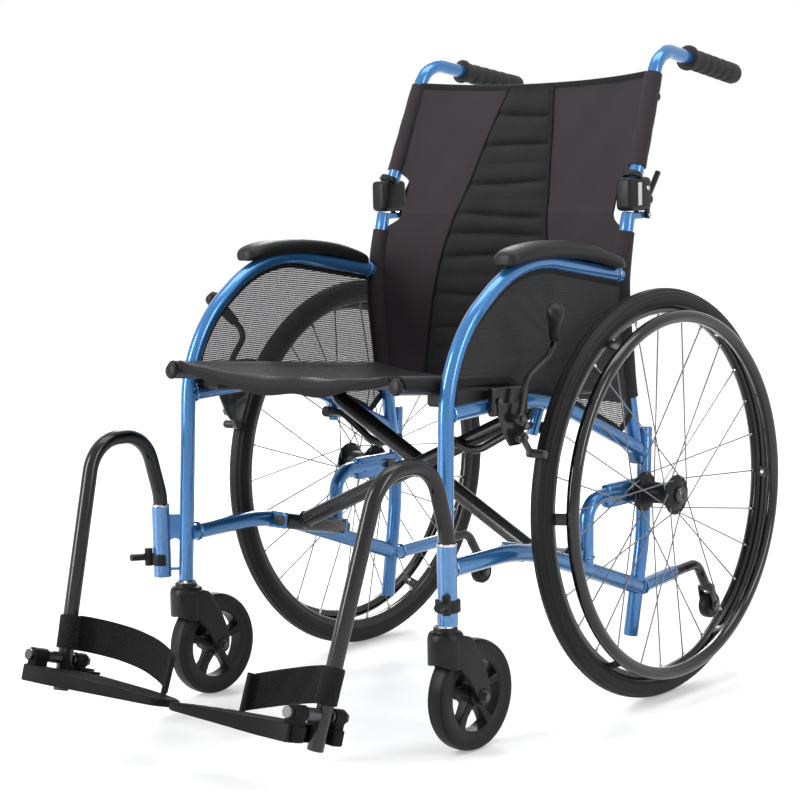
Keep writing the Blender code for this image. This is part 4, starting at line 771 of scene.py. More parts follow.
def pad_section(side, y, z, wide, high):
    ring = []
    for step in range(28):
        turn = 2 * math.pi * step / 28
        c, s = math.cos(turn), math.sin(turn)
        x = math.copysign(abs(c) ** 0.62, c) * 0.0225 * wide
        rise = math.copysign(abs(s) ** 0.72, s) * 0.0130 * high
        if s < -0.15:
            rise *= 0.92
        if step in (16, 26):
            x *= 0.955
        ring.append(at(side * (FRAME_X + 0.003) + x, y, z + rise - abs(x) * 0.10))
    return ring


for side in SIDES:
    form = bmesh.new()
    rings = [[form.verts.new(p) for p in pad_section(side, *station)] for station in PAD_STATIONS]
    skin(form, rings, caps=True)
    pad = dress(side, "armrest_foam", form, PAD, "frame", "armrest_pad", 70)
    pad.modifiers.new("smooth", "SUBSURF").levels = 1
print("armrest pads lofted from", len(PAD_STATIONS), "sections")

# %% [markdown]
# ## Rear wheels
#
# A solid tyre with a knurled tread sits in a black rim, twenty-eight steel spokes cross their neighbours on the
# way from two hub flanges, and the gloss-black handrim stands off on small tabs. The knurls are real bumps in the
# mesh, because they break up the outline of the tread, and each one is only a step in the tyre's own grid.

# %% Tyre with a knurled tread
WHEEL_X = 0.298
WHEEL_RADIUS = 0.305
TYRE_RADIUS = 0.016
RIM_OUTER = WHEEL_RADIUS - TYRE_RADIUS * 1.35
HUB_INNER = 0.266
HUB_OUTER = 0.332
KNURLS = 180
KNURL_DEPTH = 0.0017
GROOVE_DEPTH = 0.0009


def knurled_tyre(side):
    form = bmesh.new()
    rings = []
    centre = on(side, WHEEL_X, 0, WHEEL_Z)
    middle = WHEEL_RADIUS - TYRE_RADIUS
    for index in range(KNURLS * 2):
        wheel_turn = math.pi * index / KNURLS
        outward = Vector((0, math.sin(wheel_turn), math.cos(wheel_turn)))
        ring = []
        for step in range(33):
            turn = math.radians(-128 + 256 * step / 32)
            radius = TYRE_RADIUS
            if 10 <= step <= 22 and step % 4 < 2 and (index + (step // 4) % 2) % 2:
                radius -= KNURL_DEPTH
            if step in (8, 24):
                radius -= GROOVE_DEPTH
            sideways = Vector((radius * math.sin(turn), 0, 0))
            ring.append(form.verts.new(centre + outward * (middle + radius * math.cos(turn)) + sideways))
        for x in (-0.0115, 0.0115):
            ring.append(form.verts.new(centre + outward * (RIM_OUTER + 0.0008) + Vector((-x, 0, 0))))
        rings.append(ring)
    return skin(form, rings, loop=True)


for side in SIDES:
    tyre = dress(side, "tyre", knurled_tyre(side), TYRE, "rear_wheel", "rear_tyre", 28)
print("tyre tread:", KNURLS, "knurls round", len(tyre.data.polygons), "faces")

# %% [markdown]
# Spokes leave the flanges at an angle, alternately forwards and backwards, which carries the push of the hands.
# The nipples are silver and stand just inside the rim. Hub, rim and handrim are turned from their profiles.

# %% Rim, hub and spokes
SPOKES = 28


def wheel_point(side, x, radius, turn):
    return on(side, x, radius * math.sin(turn), WHEEL_Z + radius * math.cos(turn))


RIM_PROFILE = [
    (RIM_OUTER + radius, along)
    for radius, along in mirrored([
        (-0.0015, -0.0085), (0.0010, -0.0105), (-0.0002, -0.0122), (-0.0050, -0.0118),
        (-0.0120, -0.0098), (-0.0158, -0.0050), (-0.0166, 0.0),
    ])
]
FLANGE = 0.0048
HUB_INNER_END = [
    (0.0, 0.0004), (0.0125, 0.0004), (0.0135, 0.0020), (0.0210, 0.0030), (0.0295, 0.0036),
    (0.0300, FLANGE), (0.0295, 0.0062), (0.0200, 0.0078), (0.0165, 0.0120), (0.0158, 0.0330),
]
HUB_OUTER_END = [
    (0.0165, -0.0120), (0.0200, -0.0078), (0.0295, -0.0062), (0.0300, -FLANGE), (0.0295, -0.0036),
    (0.0210, -0.0030), (0.0180, -0.0010), (0.0150, 0.0002), (0.0, 0.0002),
]
HUB_PROFILE = [(r, HUB_INNER + x) for r, x in HUB_INNER_END] + [(r, HUB_OUTER + x) for r, x in HUB_OUTER_END]
NIPPLE = [(0, 0), (0.0021, 0.0), (0.0021, 0.0075), (0.0014, 0.0095), (0, 0.0095)]
AXLE_CAP = [
    (0, 0.0), (0.0125, 0.0), (0.0130, 0.0015), (0.0122, 0.0055), (0.0090, 0.0088), (0.0060, 0.0094), (0.0055, 0.0108),
    (0, 0.0112),
]
AXLE_BUTTON = [(0, 0), (0.0042, 0), (0.0036, 0.0016), (0, 0.0016)]
AXLE_NUT = [(0, 0), (0.0105, 0), (0.0105, 0.0075), (0.0085, 0.0085), (0, 0.0085)]
TAB_SCREW = [(0, 0), (0.0034, 0), (0.0030, 0.0018), (0, 0.0020)]

for side in SIDES:
    start = at(0, 0, WHEEL_Z)
    rim = turned(bmesh.new(), [(r, WHEEL_X + x) for r, x in RIM_PROFILE], start, (side, 0, 0), 144)
    dress(side, "rim", rim, BLACK, "rear_wheel", "rear_wheel", 50)
    hub = turned(bmesh.new(), HUB_PROFILE, start, (side, 0, 0), 48)
    for flange_x in (HUB_INNER + FLANGE, HUB_OUTER - FLANGE):
        for hole in range(18):
            turn = 2 * math.pi * hole / 18
            for face in (-1, 1):
                spot = wheel_point(side, flange_x + face * 0.0013, 0.0256, turn)
                turned(hub, [(0, 0), (0.0017, 0), (0.0013, 0.0009), (0, 0.0011)], spot, (side * face, 0, 0), 8)
    dress(side, "hub", hub, PLASTIC, "rear_wheel")
    spokes, nipples = bmesh.new(), bmesh.new()
    for index in range(SPOKES):
        outer = index % 2
        forward = index % 4 < 2
        flange_x = HUB_OUTER - FLANGE if outer else HUB_INNER + FLANGE
        flange_x += 0.0022 if forward else -0.0022
        turn = 2 * math.pi * index / SPOKES
        root = wheel_point(side, flange_x, 0.0256, turn + math.radians(62 if forward else -62))
        tip = wheel_point(side, WHEEL_X, RIM_OUTER - 0.012, turn)
        bar(spokes, [root, tip], 0.00105, sides=8)
        inward = (root - tip).normalized()
        turned(nipples, NIPPLE, tip + inward * 0.0035, inward, 8)
    dress(side, "spokes", spokes, SPOKE, "rear_wheel")
    dress(side, "nipples", nipples, STEEL, "rear_wheel")
    axle = turned(bmesh.new(), [(r, HUB_OUTER + 0.0003 + x) for r, x in AXLE_CAP], start, (side, 0, 0), 32)
    turned(axle, AXLE_BUTTON, on(side, HUB_OUTER + 0.0110, 0, WHEEL_Z), (side, 0, 0), 6)
    disc(axle, 0.0088, 0.0040, on(side, 0.2613, 0, WHEEL_Z), (side, 0, 0), 24)
    turned(axle, AXLE_NUT, on(side, 0.2385, 0, WHEEL_Z), (-side, 0, 0), 6)
    dress(side, "axle_ends", axle, ZINC, "frame", "rear_axle")
print("wheels:", SPOKES, "spokes a side")

# %% Handrims and their tabs
HANDRIM_X, HANDRIM_RADIUS, HANDRIM_TUBE = 0.3325, 0.2640, 0.0093
for side in SIDES:
    path = [wheel_point(side, HANDRIM_X, HANDRIM_RADIUS, 2 * math.pi * k / 144) for k in range(144)]
    hoop = sweep(bmesh.new(), path, circle(HANDRIM_TUBE, 20), closed=True)
    dress(side, "handrim_hoop", hoop, GLOSS, "rear_wheel", "handrim")
    tabs, screws = bmesh.new(), bmesh.new()
    for index in range(6):
        turn = 2 * math.pi * (index + 0.5) / 6
        low = wheel_point(side, WHEEL_X + 0.0075, RIM_OUTER - 0.0135, turn)
        high = wheel_point(side, HANDRIM_X - 0.0060, HANDRIM_RADIUS - 0.0055, turn)
        around = wheel_point(side, 0, 1, turn + math.pi / 2) - at(0, 0, WHEEL_Z)
        inward = at(0, 0, WHEEL_Z) - wheel_point(side, 0, 1, turn)
        sweep(tabs, [low, low.lerp(high, 0.5), high], rounded(0.017, 0.0045, 0.002), side_on=around)
        turned(screws, TAB_SCREW, low.lerp(high, 0.45) + inward * 0.0022, inward, 12)
    dress(side, "handrim_tabs", tabs, BLACK, "rear_wheel")
    dress(side, "handrim_screws", screws, STEEL, "rear_wheel")
print("handrims done")

# %% [markdown]
# ## Casters
#
# The fork is one moulding: a round housing for the swivel bearing and two curved blades that trail back to the
# wheel. The wheel has five moulded spokes and a solid tyre with a groove each side of its tread.

# %% Caster forks
CASTER = (0.255, -0.399, 0.077)
CASTER_X = CASTER[0]
STEM_Y = -0.449
BLADE = [
    (-0.4500, 0.1660), (-0.4500, 0.1240), (-0.4400, 0.1190), (-0.4290, 0.1080), (-0.4170, 0.0900), (-0.4110, 0.0730),
    (-0.4060, 0.0665), (-0.3990, 0.0645), (-0.3910, 0.0665), (-0.3860, 0.0720), (-0.3850, 0.0840), (-0.3910, 0.1060),
    (-0.4040, 0.1360), (-0.4160, 0.1560), (-0.4260, 0.1655), (-0.4380, 0.1690),
]
CROWN = [
    (0, 0.1565), (0.0236, 0.1565), (0.0250, 0.1580), (0.0249, 0.1640), (0.0240, 0.1690), (0.0222, 0.1722),
    (0.0198, 0.1735), (0.0172, 0.1738), (0.0168, 0.1745), (0.0168, 0.1788), (0.0150, 0.1792), (0, 0.1792),
]
CROWN_RADIUS, CROWN_INNER, WALL_TOP, WALL_LOW = 0.0250, 0.0202, 0.1600, 0.1235


def front_wall(form, x):
    """The half-round wall between the blades. Its lower edge arches over the wheel."""
    rings = []
    for step in range(33):
        turn = math.pi * (1 + step / 32)
        low = WALL_LOW + 0.0080 * math.sin(turn) ** 2
        outer = [(CROWN_RADIUS, WALL_TOP), (CROWN_RADIUS, low + 0.0016), (0.0240, low)]
        inner = [(0.0212, low), (CROWN_INNER, low + 0.0016), (CROWN_INNER, WALL_TOP)]
        ring = [at(x + r * math.cos(turn), STEM_Y + r * math.sin(turn), z) for r, z in outer + inner]
        rings.append([form.verts.new(point) for point in ring])
    skin(form, rings, caps=True)


def caster_fork(side):
    """A round crown, the wall in front of the wheel, and two blades that trail back to the axle."""
    form = bmesh.new()
    x = side * CASTER_X
    turned(form, CROWN, at(x, STEM_Y, 0), (0, 0, 1), 64)
    front_wall(form, x)
    outline = [(y + AXLE_Y, z) for y, z in BLADE]
    for offset in (-1, 1):
        plate(form, outline, 0.0050, Matrix.Translation((x + offset * 0.0225, 0, 0)) @ SIDEWAYS, 0.0016)
        boss = [(0, 0), (0.0112, 0), (0.0116, 0.0006), (0.0110, 0.0016), (0, 0.0018)]
        turned(form, boss, at(x + offset * 0.0249, *CASTER[1:]), (offset, 0, 0), 32)
    return form


def caster_bolts(side):
    """The wheel's axle bolt, with a head and a nut outside the blades."""
    form = bmesh.new()
    head = [(0, 0), (0.0080, 0), (0.0080, 0.0012), (0.0062, 0.0014), (0.0058, 0.0052), (0, 0.0056)]
    for offset in (-1, 1):
        turned(form, head, at(side * CASTER_X + offset * 0.0262, *CASTER[1:]), (offset, 0, 0), 6)
    return bar(form, [at(side * CASTER_X + offset * 0.024, *CASTER[1:]) for offset in (-1, 1)], 0.004)


for side in SIDES:
    dress(side, "fork_moulding", caster_fork(side), PLASTIC, "caster_fork", "caster_fork", 45)
    dress(side, "fork_bolts", caster_bolts(side), ZINC, "caster_fork")

# %% Caster wheels and tyres
CASTER_TREAD = mirrored([
    (0.0580, -0.0130), (0.0640, -0.0148), (0.0700, -0.0153), (0.0738, -0.0138), (0.0752, -0.0118),
    (0.0746, -0.0108), (0.0746, -0.0098), (0.0764, -0.0086), (0.0770, -0.0050), (0.0772, 0.0),
])


def caster_wheel(side):
    form = bmesh.new()
    centre = on(side, *CASTER)
    rim = [(0.0500, -0.0105), (0.0530, -0.0128), (0.0585, -0.0132)]
    turned(form, mirrored(rim), centre, (1, 0, 0), 72)
    hub = [(0.0042, -0.0170), (0.0120, -0.0170), (0.0150, -0.0150), (0.0160, -0.0100)]
    turned(form, mirrored(hub), centre, (1, 0, 0), 36)
    for index in range(5):
        turn = 2 * math.pi * index / 5
        along = Vector((0, math.sin(turn), math.cos(turn)))
        path = [centre + along * r for r in (0.013, 0.020, 0.032, 0.044, 0.0515)]
        sweep(form, path, rounded(0.020, 0.0135, 0.003), scale=[1.1, 0.92, 0.82, 0.95, 1.15], side_on=(1, 0, 0))
    return form


for side in SIDES:
    dress(side, "caster_centre", caster_wheel(side), PLASTIC, "caster_wheel", "caster_wheel")
    tyre = turned(bmesh.new(), CASTER_TREAD, on(side, *CASTER), (1, 0, 0), 96)
    dress(side, "caster_rubber", tyre, CASTER_RUBBER, "caster_wheel", "caster_tyre", 30)
print("casters done")

# %% [markdown]
# ## Side guards
#
# A net panel fills the loop between armrest, cane and seat rail and keeps clothes off the wheel. It is sewn into
# a folded tape all round, and the tape is what holds it against the tubes. The net is pulled tight, so it only
# bellies out by a few millimetres.

# %% Side guards
NET_INSET = TUBE + 0.0008


def guard_outline():
    """The edge of the net: the centre lines of its tubes, drawn in by a tube's radius."""
    arm = bent_path(line(1, ARC), 0.20, 16)
    cane = refined(bent_path(line(1, LOWER_CANE), 0.30), 0.02)[::-1]
    rail = refined(bent_path(line(1, SEAT_RAIL), 0.40), 0.02)[::-1]
    tubes = [(p.y, p.z) for p in arm if p.z > 0.506]
    tubes += [(p.y, p.z) for p in cane if 0.41 < p.z < 0.60]
    tubes += [(p.y, p.z) for p in rail if -0.275 < p.y - AXLE_Y < -0.02]
    edge = []
    for index, (y, z) in enumerate(tubes):
        before, after = tubes[max(index - 1, 0)], tubes[min(index + 1, len(tubes) - 1)]
        onward = Vector((after[0] - before[0], after[1] - before[1])).normalized()
        edge.append((y + onward.y * NET_INSET, z - onward.x * NET_INSET))
    return edge + [(AXLE_Y - 0.298, 0.500), (AXLE_Y - 0.418, 0.506)]


def net_panel(side, outline):
    middle = sum((Vector(point) for point in outline), Vector((0, 0))) / len(outline)
    form = bmesh.new()
    layers = []
    for lift in (-0.0007, 0.0007):
        rings = []
        for share in (1.0, 0.96, 0.86, 0.72, 0.54, 0.34, 0.14):
            ring = []
            for k, point in enumerate(outline):
                flat = middle.lerp(Vector(point), share)
                belly = 0.0035 * (1 - share**2) + 0.0009 * math.sin(k * 1.3) * share * (1 - share) * 4
                ring.append(form.verts.new((side * (FRAME_X + belly) + lift, flat.x, flat.y)))
            rings.append(ring)
        skin(form, rings)
        form.faces.new(rings[-1])
        layers.append(rings[0])
    return skin(form, layers)


edge = guard_outline()
for side in SIDES:
    net = dress(side, "guard_net", net_panel(side, edge), NET, "frame", "side_guard")
    loop = [Vector((side * FRAME_X, y, z)) for y, z in edge]
    tape = sweep(bmesh.new(), loop, rounded(0.0034, 0.011, 0.0016, 2), closed=True, side_on=(1, 0, 0))
    binding = dress(side, "guard_binding", tape, BINDING, "frame")

# %% [markdown]
# ## Cross brace and stabiliser links
#
# Two black bars cross under the seat. Each starts in a sleeve that turns about the far lower rail's bolt, runs up
# past the other bar, and bends upright into a seat tube with a plug in either end. The curved links guide the
# seat tubes straight down onto their saddles.

# %% Cross brace, seat tubes and links
SEAT_TUBE_X = 0.218
SEAT_FRONT = (-0.499, 0.506)
SEAT_REAR = (-0.045, 0.465)
BRACE_TUBE = 0.0125
BRACE_OFFSET = 0.014
BOLT_X = 0.2225
BRACE_RISE = 0.1064 / BOLT_X
LINK_OFFSET = 0.0335


def brace_bar(side):
    """A sleeve about the far bolt, the bar across, and the seat tube on its bent-up end."""
    form = bmesh.new()
    along = -side * BRACE_OFFSET
    knee = 0.196
    corners = [
        brace_point(-side * BOLT_X, 0, along),
        brace_point(side * knee, BRACE_RISE * (BOLT_X + knee), along),
        brace_point(side * SEAT_TUBE_X, 0.2385, along),
    ]
    bar(form, corners, BRACE_TUBE, 0.030, 24)
    sleeve_ends = [brace_point(-side * BOLT_X, 0, end) for end in (-0.052, 0.080)]
    bar(form, sleeve_ends, BRACE_TUBE, sides=24, ends=0.0012)
    upward = (corners[1] - corners[0]).normalized()
    bead(form, corners[0] + upward * 0.013, upward, BRACE_TUBE)
    bar(form, [on(side, SEAT_TUBE_X, *SEAT_FRONT), on(side, SEAT_TUBE_X, *SEAT_REAR)], TUBE, sides=24)
    bead(form, brace_point(side * 0.2172, 0.2275, along), FOLD_UP, BRACE_TUBE)
    return form


def seat_plugs(side):
    form = bmesh.new()
    ends = [on(side, SEAT_TUBE_X, *SEAT_FRONT), on(side, SEAT_TUBE_X, *SEAT_REAR)]
    for end, other in (ends, reversed(ends)):
        cap = [(0, -0.0032), (0.0070, -0.0028), (0.0102, -0.0016), (0.0116, 0.0004), (0.0116, 0.0022), (0, 0.0024)]
        turned(form, cap, end, other - end, 32)
    return form


def link(side):
    form = bmesh.new()
    along = -side * LINK_OFFSET
    start, end = brace_point(side * 0.238, 0.1795, along), brace_point(side * 0.086, 0.147, along)
    corners = [start, brace_point(side * 0.206, 0.1805, along), brace_point(side * 0.126, 0.135, along), end]
    sweep(form, bent_path(corners, 0.05, 8), rounded(0.0085, 0.0115, 0.0038, 4), side_on=FOLD_AXIS)
    eye = mirrored([(0, -0.0055), (0.0078, -0.0055), (0.0088, -0.0045)])
    for point in (start, end):
        turned(form, eye, point, FOLD_AXIS, 28)
    return form, start, end


for side in SIDES:
    body = "brace_front" if side > 0 else "brace_rear"
    piece(f"{body}_tubes", brace_bar(side), BLACK, body, replaces=[body])
    piece(f"{body}_plugs", seat_plugs(side), PLASTIC, body)
    form, start, end = link(side)
    dress(side, "link_arm", form, BLACK, "link", "stabiliser_link")
    bolts = bmesh.new()
    outward = FOLD_AXIS * side
    bar(bolts, [start, start - outward * 0.0305], 0.003, sides=12)
    head = [(0, 0), (0.0058, 0), (0.0058, 0.0034), (0.0044, 0.0042), (0, 0.0042)]
    for spot in (start - outward * 0.0262, end - outward * 0.0052):
        turned(bolts, head, spot, -outward, 6)
    dress(side, "link_bolts", bolts, ZINC, "link", angle=30)
print("cross brace and links dressed")

# %% [markdown]
# ## The folding back
#
# The upper canes stand in plastic hinge housings with a light grey insert, sweep rearwards in one bend, and end in
# ribbed rubber grips. A finger lever behind each housing frees the hinge, and a cap screw holds the cloth near the top.

# %% Upper canes, grips and hinge housings
GRIP_LENGTH = 0.150
KNOB = [(0, 0), (0.0042, 0), (0.0042, 0.006), (0.0072, 0.0068), (0.0078, 0.0100), (0.0066, 0.0128), (0, 0.0135)]


def cane_path(side):
    return bent_path(line(side, UPPER_CANE), 0.050, 14)


def push_grip(side):
    form = bmesh.new()
    end = on(side, UPPER_CANE[2][0], *UPPER_CANE[2][1:])
    along = (end - on(side, UPPER_CANE[1][0], *UPPER_CANE[1][1:])).normalized()
    profile = [(0.0112, 0.0), (0.0185, 0.0), (0.0195, 0.0010), (0.0195, 0.0050), (0.0185, 0.0062)]
    profile += [(0.0165, 0.0085), (0.0163, 0.018)]
    wave = [(0.0160, 0), (0.0142, 0.0030), (0.0142, 0.0060), (0.0164, 0.0100), (0.0165, 0.0190)]
    for index in range(5):
        base = 0.020 + index * 0.022
        profile += [(radius, base + along_wave) for radius, along_wave in wave]
    cap = [(0.0164, 0.0075), (0.0150, 0.0030), (0.0110, 0.0006), (0, 0), (0, 0.004), (0.0112, 0.004)]
    profile += [(radius, GRIP_LENGTH - short) for radius, short in cap]
    return turned(form, profile, end + along * (0.004 - GRIP_LENGTH), along, 40)


def hinge_housing(side):
    """The clamp block, its two ears and a raised band where the halves meet."""
    form = bmesh.new()
    moulding(form, on(side, CANE_X, 0.018, 0.7478), (0.030, 0.056, 0.050), 0.0075, steps=4)
    collar = [(0.0112, 0), (0.0150, 0), (0.0155, 0.001), (0.0142, 0.008), (0.0125, 0.0095), (0.0112, 0.0095)]
    turned(form, collar, on(side, 0.2422, 0.0155, 0.7705), (-0.13 * side, 0.40, 0.92), 32)
    for way in (-1, 1):
        x = side * (CANE_X + way * 0.0099)
        ear = mirrored([(0, -0.0023), (0.0050, -0.0023), (0.0056, -0.0016)])
        turned(form, ear, at(x, 0.041, 0.716), (1, 0, 0), 24)
        moulding(form, at(x, 0.0385, 0.7245), (0.0045, 0.0085, 0.014), 0.001, steps=2)
    return form


def hinge_details(side):
    """The light grey insert let into the outer face."""
    form = bmesh.new()
    return moulding(form, on(side, CANE_X + 0.0146, 0.0125, 0.7478), (0.0030, 0.0095, 0.034), 0.0012, steps=3)


def hinge_screws(side):
    form = bmesh.new()
    head = [(0, -0.001), (0.0036, -0.001), (0.0036, 0.0008), (0.0030, 0.0016), (0.0016, 0.0017), (0.0013, 0.0006)]
    head.append((0, 0.0006))
    turned(form, head, on(side, CANE_X + 0.0152, 0.033, 0.7560), (side, 0, 0), 24)
    turned(form, head, on(side, CANE_X + 0.0125, 0.041, 0.716), (side, 0, 0), 24)
    return form


for side in SIDES:
    tube = bmesh.new()
    sweep(tube, cane_path(side), circle(TUBE, 28))
    dress(side, "cane_tube", tube, BLUE, "upper_back", "upper_cane")
    dress(side, "grip_sleeve", push_grip(side), GRIP, "upper_back", "push_grip", 35)
    dress(side, "hinge_clamp", hinge_housing(side), PLASTIC, "upper_back", "back_hinge")
    dress(side, "hinge_insert", hinge_details(side), INSERT, "upper_back")
    dress(side, "hinge_screws", hinge_screws(side), STEEL, "upper_back")
    knob = turned(bmesh.new(), KNOB, on(side, 0.2335, 0.0800, 0.892), (side * 0.25, 1, 0), 28)
    dress(side, "cane_knob", knob, PLASTIC, "upper_back")
print("folding back dressed")

# %% [markdown]
# A plastic band clips round each socket and holds the release lever of the footrest. It is open to the rear,
# where it snaps over the tube.

# %% Clips round the sockets
CLIP_RADIUS = 0.0156
for side in SIDES:
    clip = bmesh.new()
    centre = on(side, *SOCKET[:2], 0.2165)
    facing = math.atan2(-0.6, side * 0.8)
    turns = [facing + math.radians(-120 + 12 * k) for k in range(21)]
    path = [centre + Vector((math.cos(turn), math.sin(turn), 0)) * CLIP_RADIUS for turn in turns]
    sweep(clip, path, rounded(0.0165, 0.0034, 0.0014, 3), side_on=(0, 0, 1))
    dress(side, "socket_clip", clip, PLASTIC, "frame")

# %% [markdown]
# ## Footrests
#
# Each black hanger drops into its socket, bends over the front and runs down to the footplate. The footplates are
# ribbed mouldings, thick at the hinge and thin at the tip, with a wide webbing strap that runs from a cuff on the
# hanger round the heel to a post on the plate.

# %% Hangers and footplates
HINGE = (0.2526, -0.6884, 0.110)
CORNER = (0.277, -0.599, 0.410)
LEAN = math.atan2(CORNER[1] - HINGE[1], CORNER[2] - HINGE[2])
FOOT_AXIS = Vector((0, math.cos(LEAN), -math.sin(LEAN)))
FOOT_UP = Vector((0, math.sin(LEAN), math.cos(LEAN)))
PLATE_SLOPE = math.radians(2.2)
PLATE_TOP = -0.0135
PLATE_THICK = 0.024
TIP_THICK = 0.0105
PLATE_REACH = 0.240
STRAP_POST = (0.1755, 0.0345)
PLATE_OUTLINE = [
    (-0.006, -0.067), (0.050, -0.065), (0.140, -0.052), (0.225, -0.045), (0.235, -0.041), (0.240, -0.032),
    (0.240, -0.002), (0.234, 0.012), (0.215, 0.024), STRAP_POST, (0.140, 0.037), (0.016, 0.037), (0.016, -0.032),
    (-0.006, -0.040),
]


def foot_point(side, inboard, up, along):
    """A point counted from the hinge, in the hanger's lean."""
    return on(side, HINGE[0] - inboard, HINGE[1], HINGE[2]) + FOOT_UP * up + FOOT_AXIS * along


def plate_point(side, inboard, up, along):
    """The same on the plate, which slopes down a little towards its tip."""
    return foot_point(side, inboard * math.cos(PLATE_SLOPE), up - inboard * math.sin(PLATE_SLOPE), along)


def hanger_tube(side):
    form = bmesh.new()
    corner, hinge = on(side, *CORNER), foot_point(side, 0, 0, 0)
    corners = [
        on(side, 0.280, -0.473, 0.203),
        on(side, 0.280, -0.473, 0.314),
        on(side, 0.280, -0.500, 0.410),
        corner,
        hinge + (hinge - corner) * 0.145,
    ]
    bar(form, corners, TUBE, [0.08, 0.056, 0.060], 28, 14, ends=0.0012)
    return form


def plate_height(inboard):
    return PLATE_THICK + (TIP_THICK - PLATE_THICK) * max(0.0, inboard / PLATE_REACH)


def footplate(side):
    """The plate with eased rims, tread ribs on its top, hinge ears, and the strap's post."""
    form = bmesh.new()
    top = [form.verts.new(plate_point(side, x, PLATE_TOP, y)) for x, y in PLATE_OUTLINE]
    low = [form.verts.new(plate_point(side, x, PLATE_TOP - plate_height(x), y)) for x, y in PLATE_OUTLINE]
    faces = [form.faces.new(top), form.faces.new(low[::-1])]
    for k in range(len(top)):
        onward = (k + 1) % len(top)
        form.faces.new((top[k], low[k], low[onward], top[onward]))
    rims = dict.fromkeys(edge for face in faces for edge in face.edges)
    bmesh.ops.bevel(form, geom=list(rims), offset=0.0024, segments=3, profile=0.5, affect="EDGES")
    for row in range(7):
        along = -0.046 + row * 0.0115
        near = 0.030 if along > -0.036 else 0.012
        far = 0.222 - max(0.0, along + 0.005) * 1.1
        ends = [plate_point(side, x, PLATE_TOP + 0.0001, along) for x in (near, far)]
        sweep(form, ends, rounded(0.0026, 0.0014, 0.0006, 2), side_on=FOOT_AXIS)
    turn = Matrix.Rotation(-LEAN, 4, "X") @ Matrix.Rotation(side * PLATE_SLOPE, 4, "Y")
    for start, end in ((-0.062, -0.036), (0.016, 0.036)):
        barrel = [(0.0042, start), (0.0098, start), (0.0106, start + 0.0010)]
        barrel += [(0.0106, end - 0.0010), (0.0098, end), (0.0042, end)]
        turned(form, barrel, foot_point(side, 0, 0, 0), FOOT_AXIS, 36)
        middle, length = (start + end) / 2, end - start - 0.001
        moulding(form, plate_point(side, 0.006, PLATE_TOP - 0.0115, middle), (0.033, length, 0.0215), 0.0030, turn)
        moulding(form, plate_point(side, 0.0005, PLATE_TOP / 2, middle), (0.018, length - 0.001, 0.0215), 0.0030, turn)
    for shift, height in ((0.022, 0.0060), (0.036, 0.0038)):
        foot = plate_point(side, shift, PLATE_TOP + height / 2, 0.026)
        moulding(form, foot, (0.014, 0.016, height), 0.0015, turn, 2)
    inboard, along = STRAP_POST
    foot = plate_point(side, inboard, PLATE_TOP - 0.006, along)
    head = plate_point(side, inboard, PLATE_TOP + 0.052, along + 0.004)
    sweep(form, [foot, head], rounded(0.0078, 0.0078, 0.0030, 3), side_on=(1, 0, 0))
    return form


def footplate_screws(side):
    form = bmesh.new()
    head = [(0, 0.0), (0.0042, 0.0), (0.0046, 0.0006), (0.0042, 0.0020)]
    head += [(0.0022, 0.0026), (0.0020, 0.0012), (0, 0.0012)]
    for inboard in (0.060, 0.150):
        low = plate_point(side, inboard, PLATE_TOP - plate_height(inboard) + 0.0006, -0.010)
        turned(form, head, low, -FOOT_UP, 20)
    return form


for side in SIDES:
    dress(side, "hanger_tube", hanger_tube(side), BLACK, "hanger", "footrest_hanger")
    dress(side, "foot_moulding", footplate(side), MATT, "footplate", "footplate", 35)
    dress(side, "foot_screws", footplate_screws(side), ZINC, "footplate")
print("hangers and footplates dressed")

# %% [markdown]
# The heel strap is woven webbing with a rib across it, folded over and sewn at both ends. On the chair it is
# attached to two moving parts; here it is built in place between the hinge pin and the plate and rides on neither.
# A rubber-like cuff holds its other end round the hanger.

# %% Heel straps and cuffs
STRAP_HALF = 0.025
STRAP_GAP = TUBE + 0.0018
STRAP_BULGE = 0.031


def strap_middle(side, share):
    inboard, along = STRAP_POST
    post = plate_point(side, inboard, PLATE_TOP + 0.026, along + 0.0080)
    start = foot_point(side, 0, 0.038, STRAP_GAP)
    return start.lerp(post, share) + Vector((0, STRAP_BULGE * math.sin(math.pi * share) ** 0.8, 0))


def heel_strap(side):
    """Rows across the strap from the hanger to the post, with a slight sag."""
    rows = []
    for step in range(61):
        share = step / 60
        lean = Vector((0, 0.29 + 0.09 * share, 1)).normalized()
        rear = Vector((0, 1, -0.3)).normalized()
        row = []
        for k in range(9):
            height = (k / 4 - 1) * STRAP_HALF
            cup = 0.0016 * (1 - (k / 4 - 1) ** 2) * math.sin(math.pi * share)
            ripple = 0.0006 * math.sin(share * 23 + k * 0.7) * math.sin(math.pi * share)
            row.append(strap_middle(side, share) + lean * height + rear * (cup + ripple))
        rows.append(row)
    return cloth(bmesh.new(), rows, 0.0026)


def strap_length(side):
    points = [strap_middle(side, k / 60) for k in range(61)]
    return sum((b - a).length for a, b in zip(points, points[1:]))


def strap_cuff(side):
    """The sewn loop of webbing round the hanger."""
    form = bmesh.new()
    up = (on(side, *CORNER) - foot_point(side, 0, 0, 0)).normalized()
    wall = [(0.0112, 0.014), (0.0142, 0.0145), (0.0148, 0.018), (0.0146, 0.038)]
    wall += [(0.0150, 0.058), (0.0143, 0.0615), (0.0112, 0.062)]
    return turned(form, wall, foot_point(side, 0, 0, 0), up, 40)


for side in SIDES:
    strap = dress(side, "heel_webbing", heel_strap(side), WEBBING, None, "heel_strap")
    strap_length(side)
    near, far = strap_middle(side, 0.06), strap_middle(side, 0.90)
    tuple(near)
    tuple(far)
    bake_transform(strap)
    dress(side, "strap_cuff", strap_cuff(side), WEBBING, "hanger")
print("heel straps:", round(strap_length(1), 3), "m long")

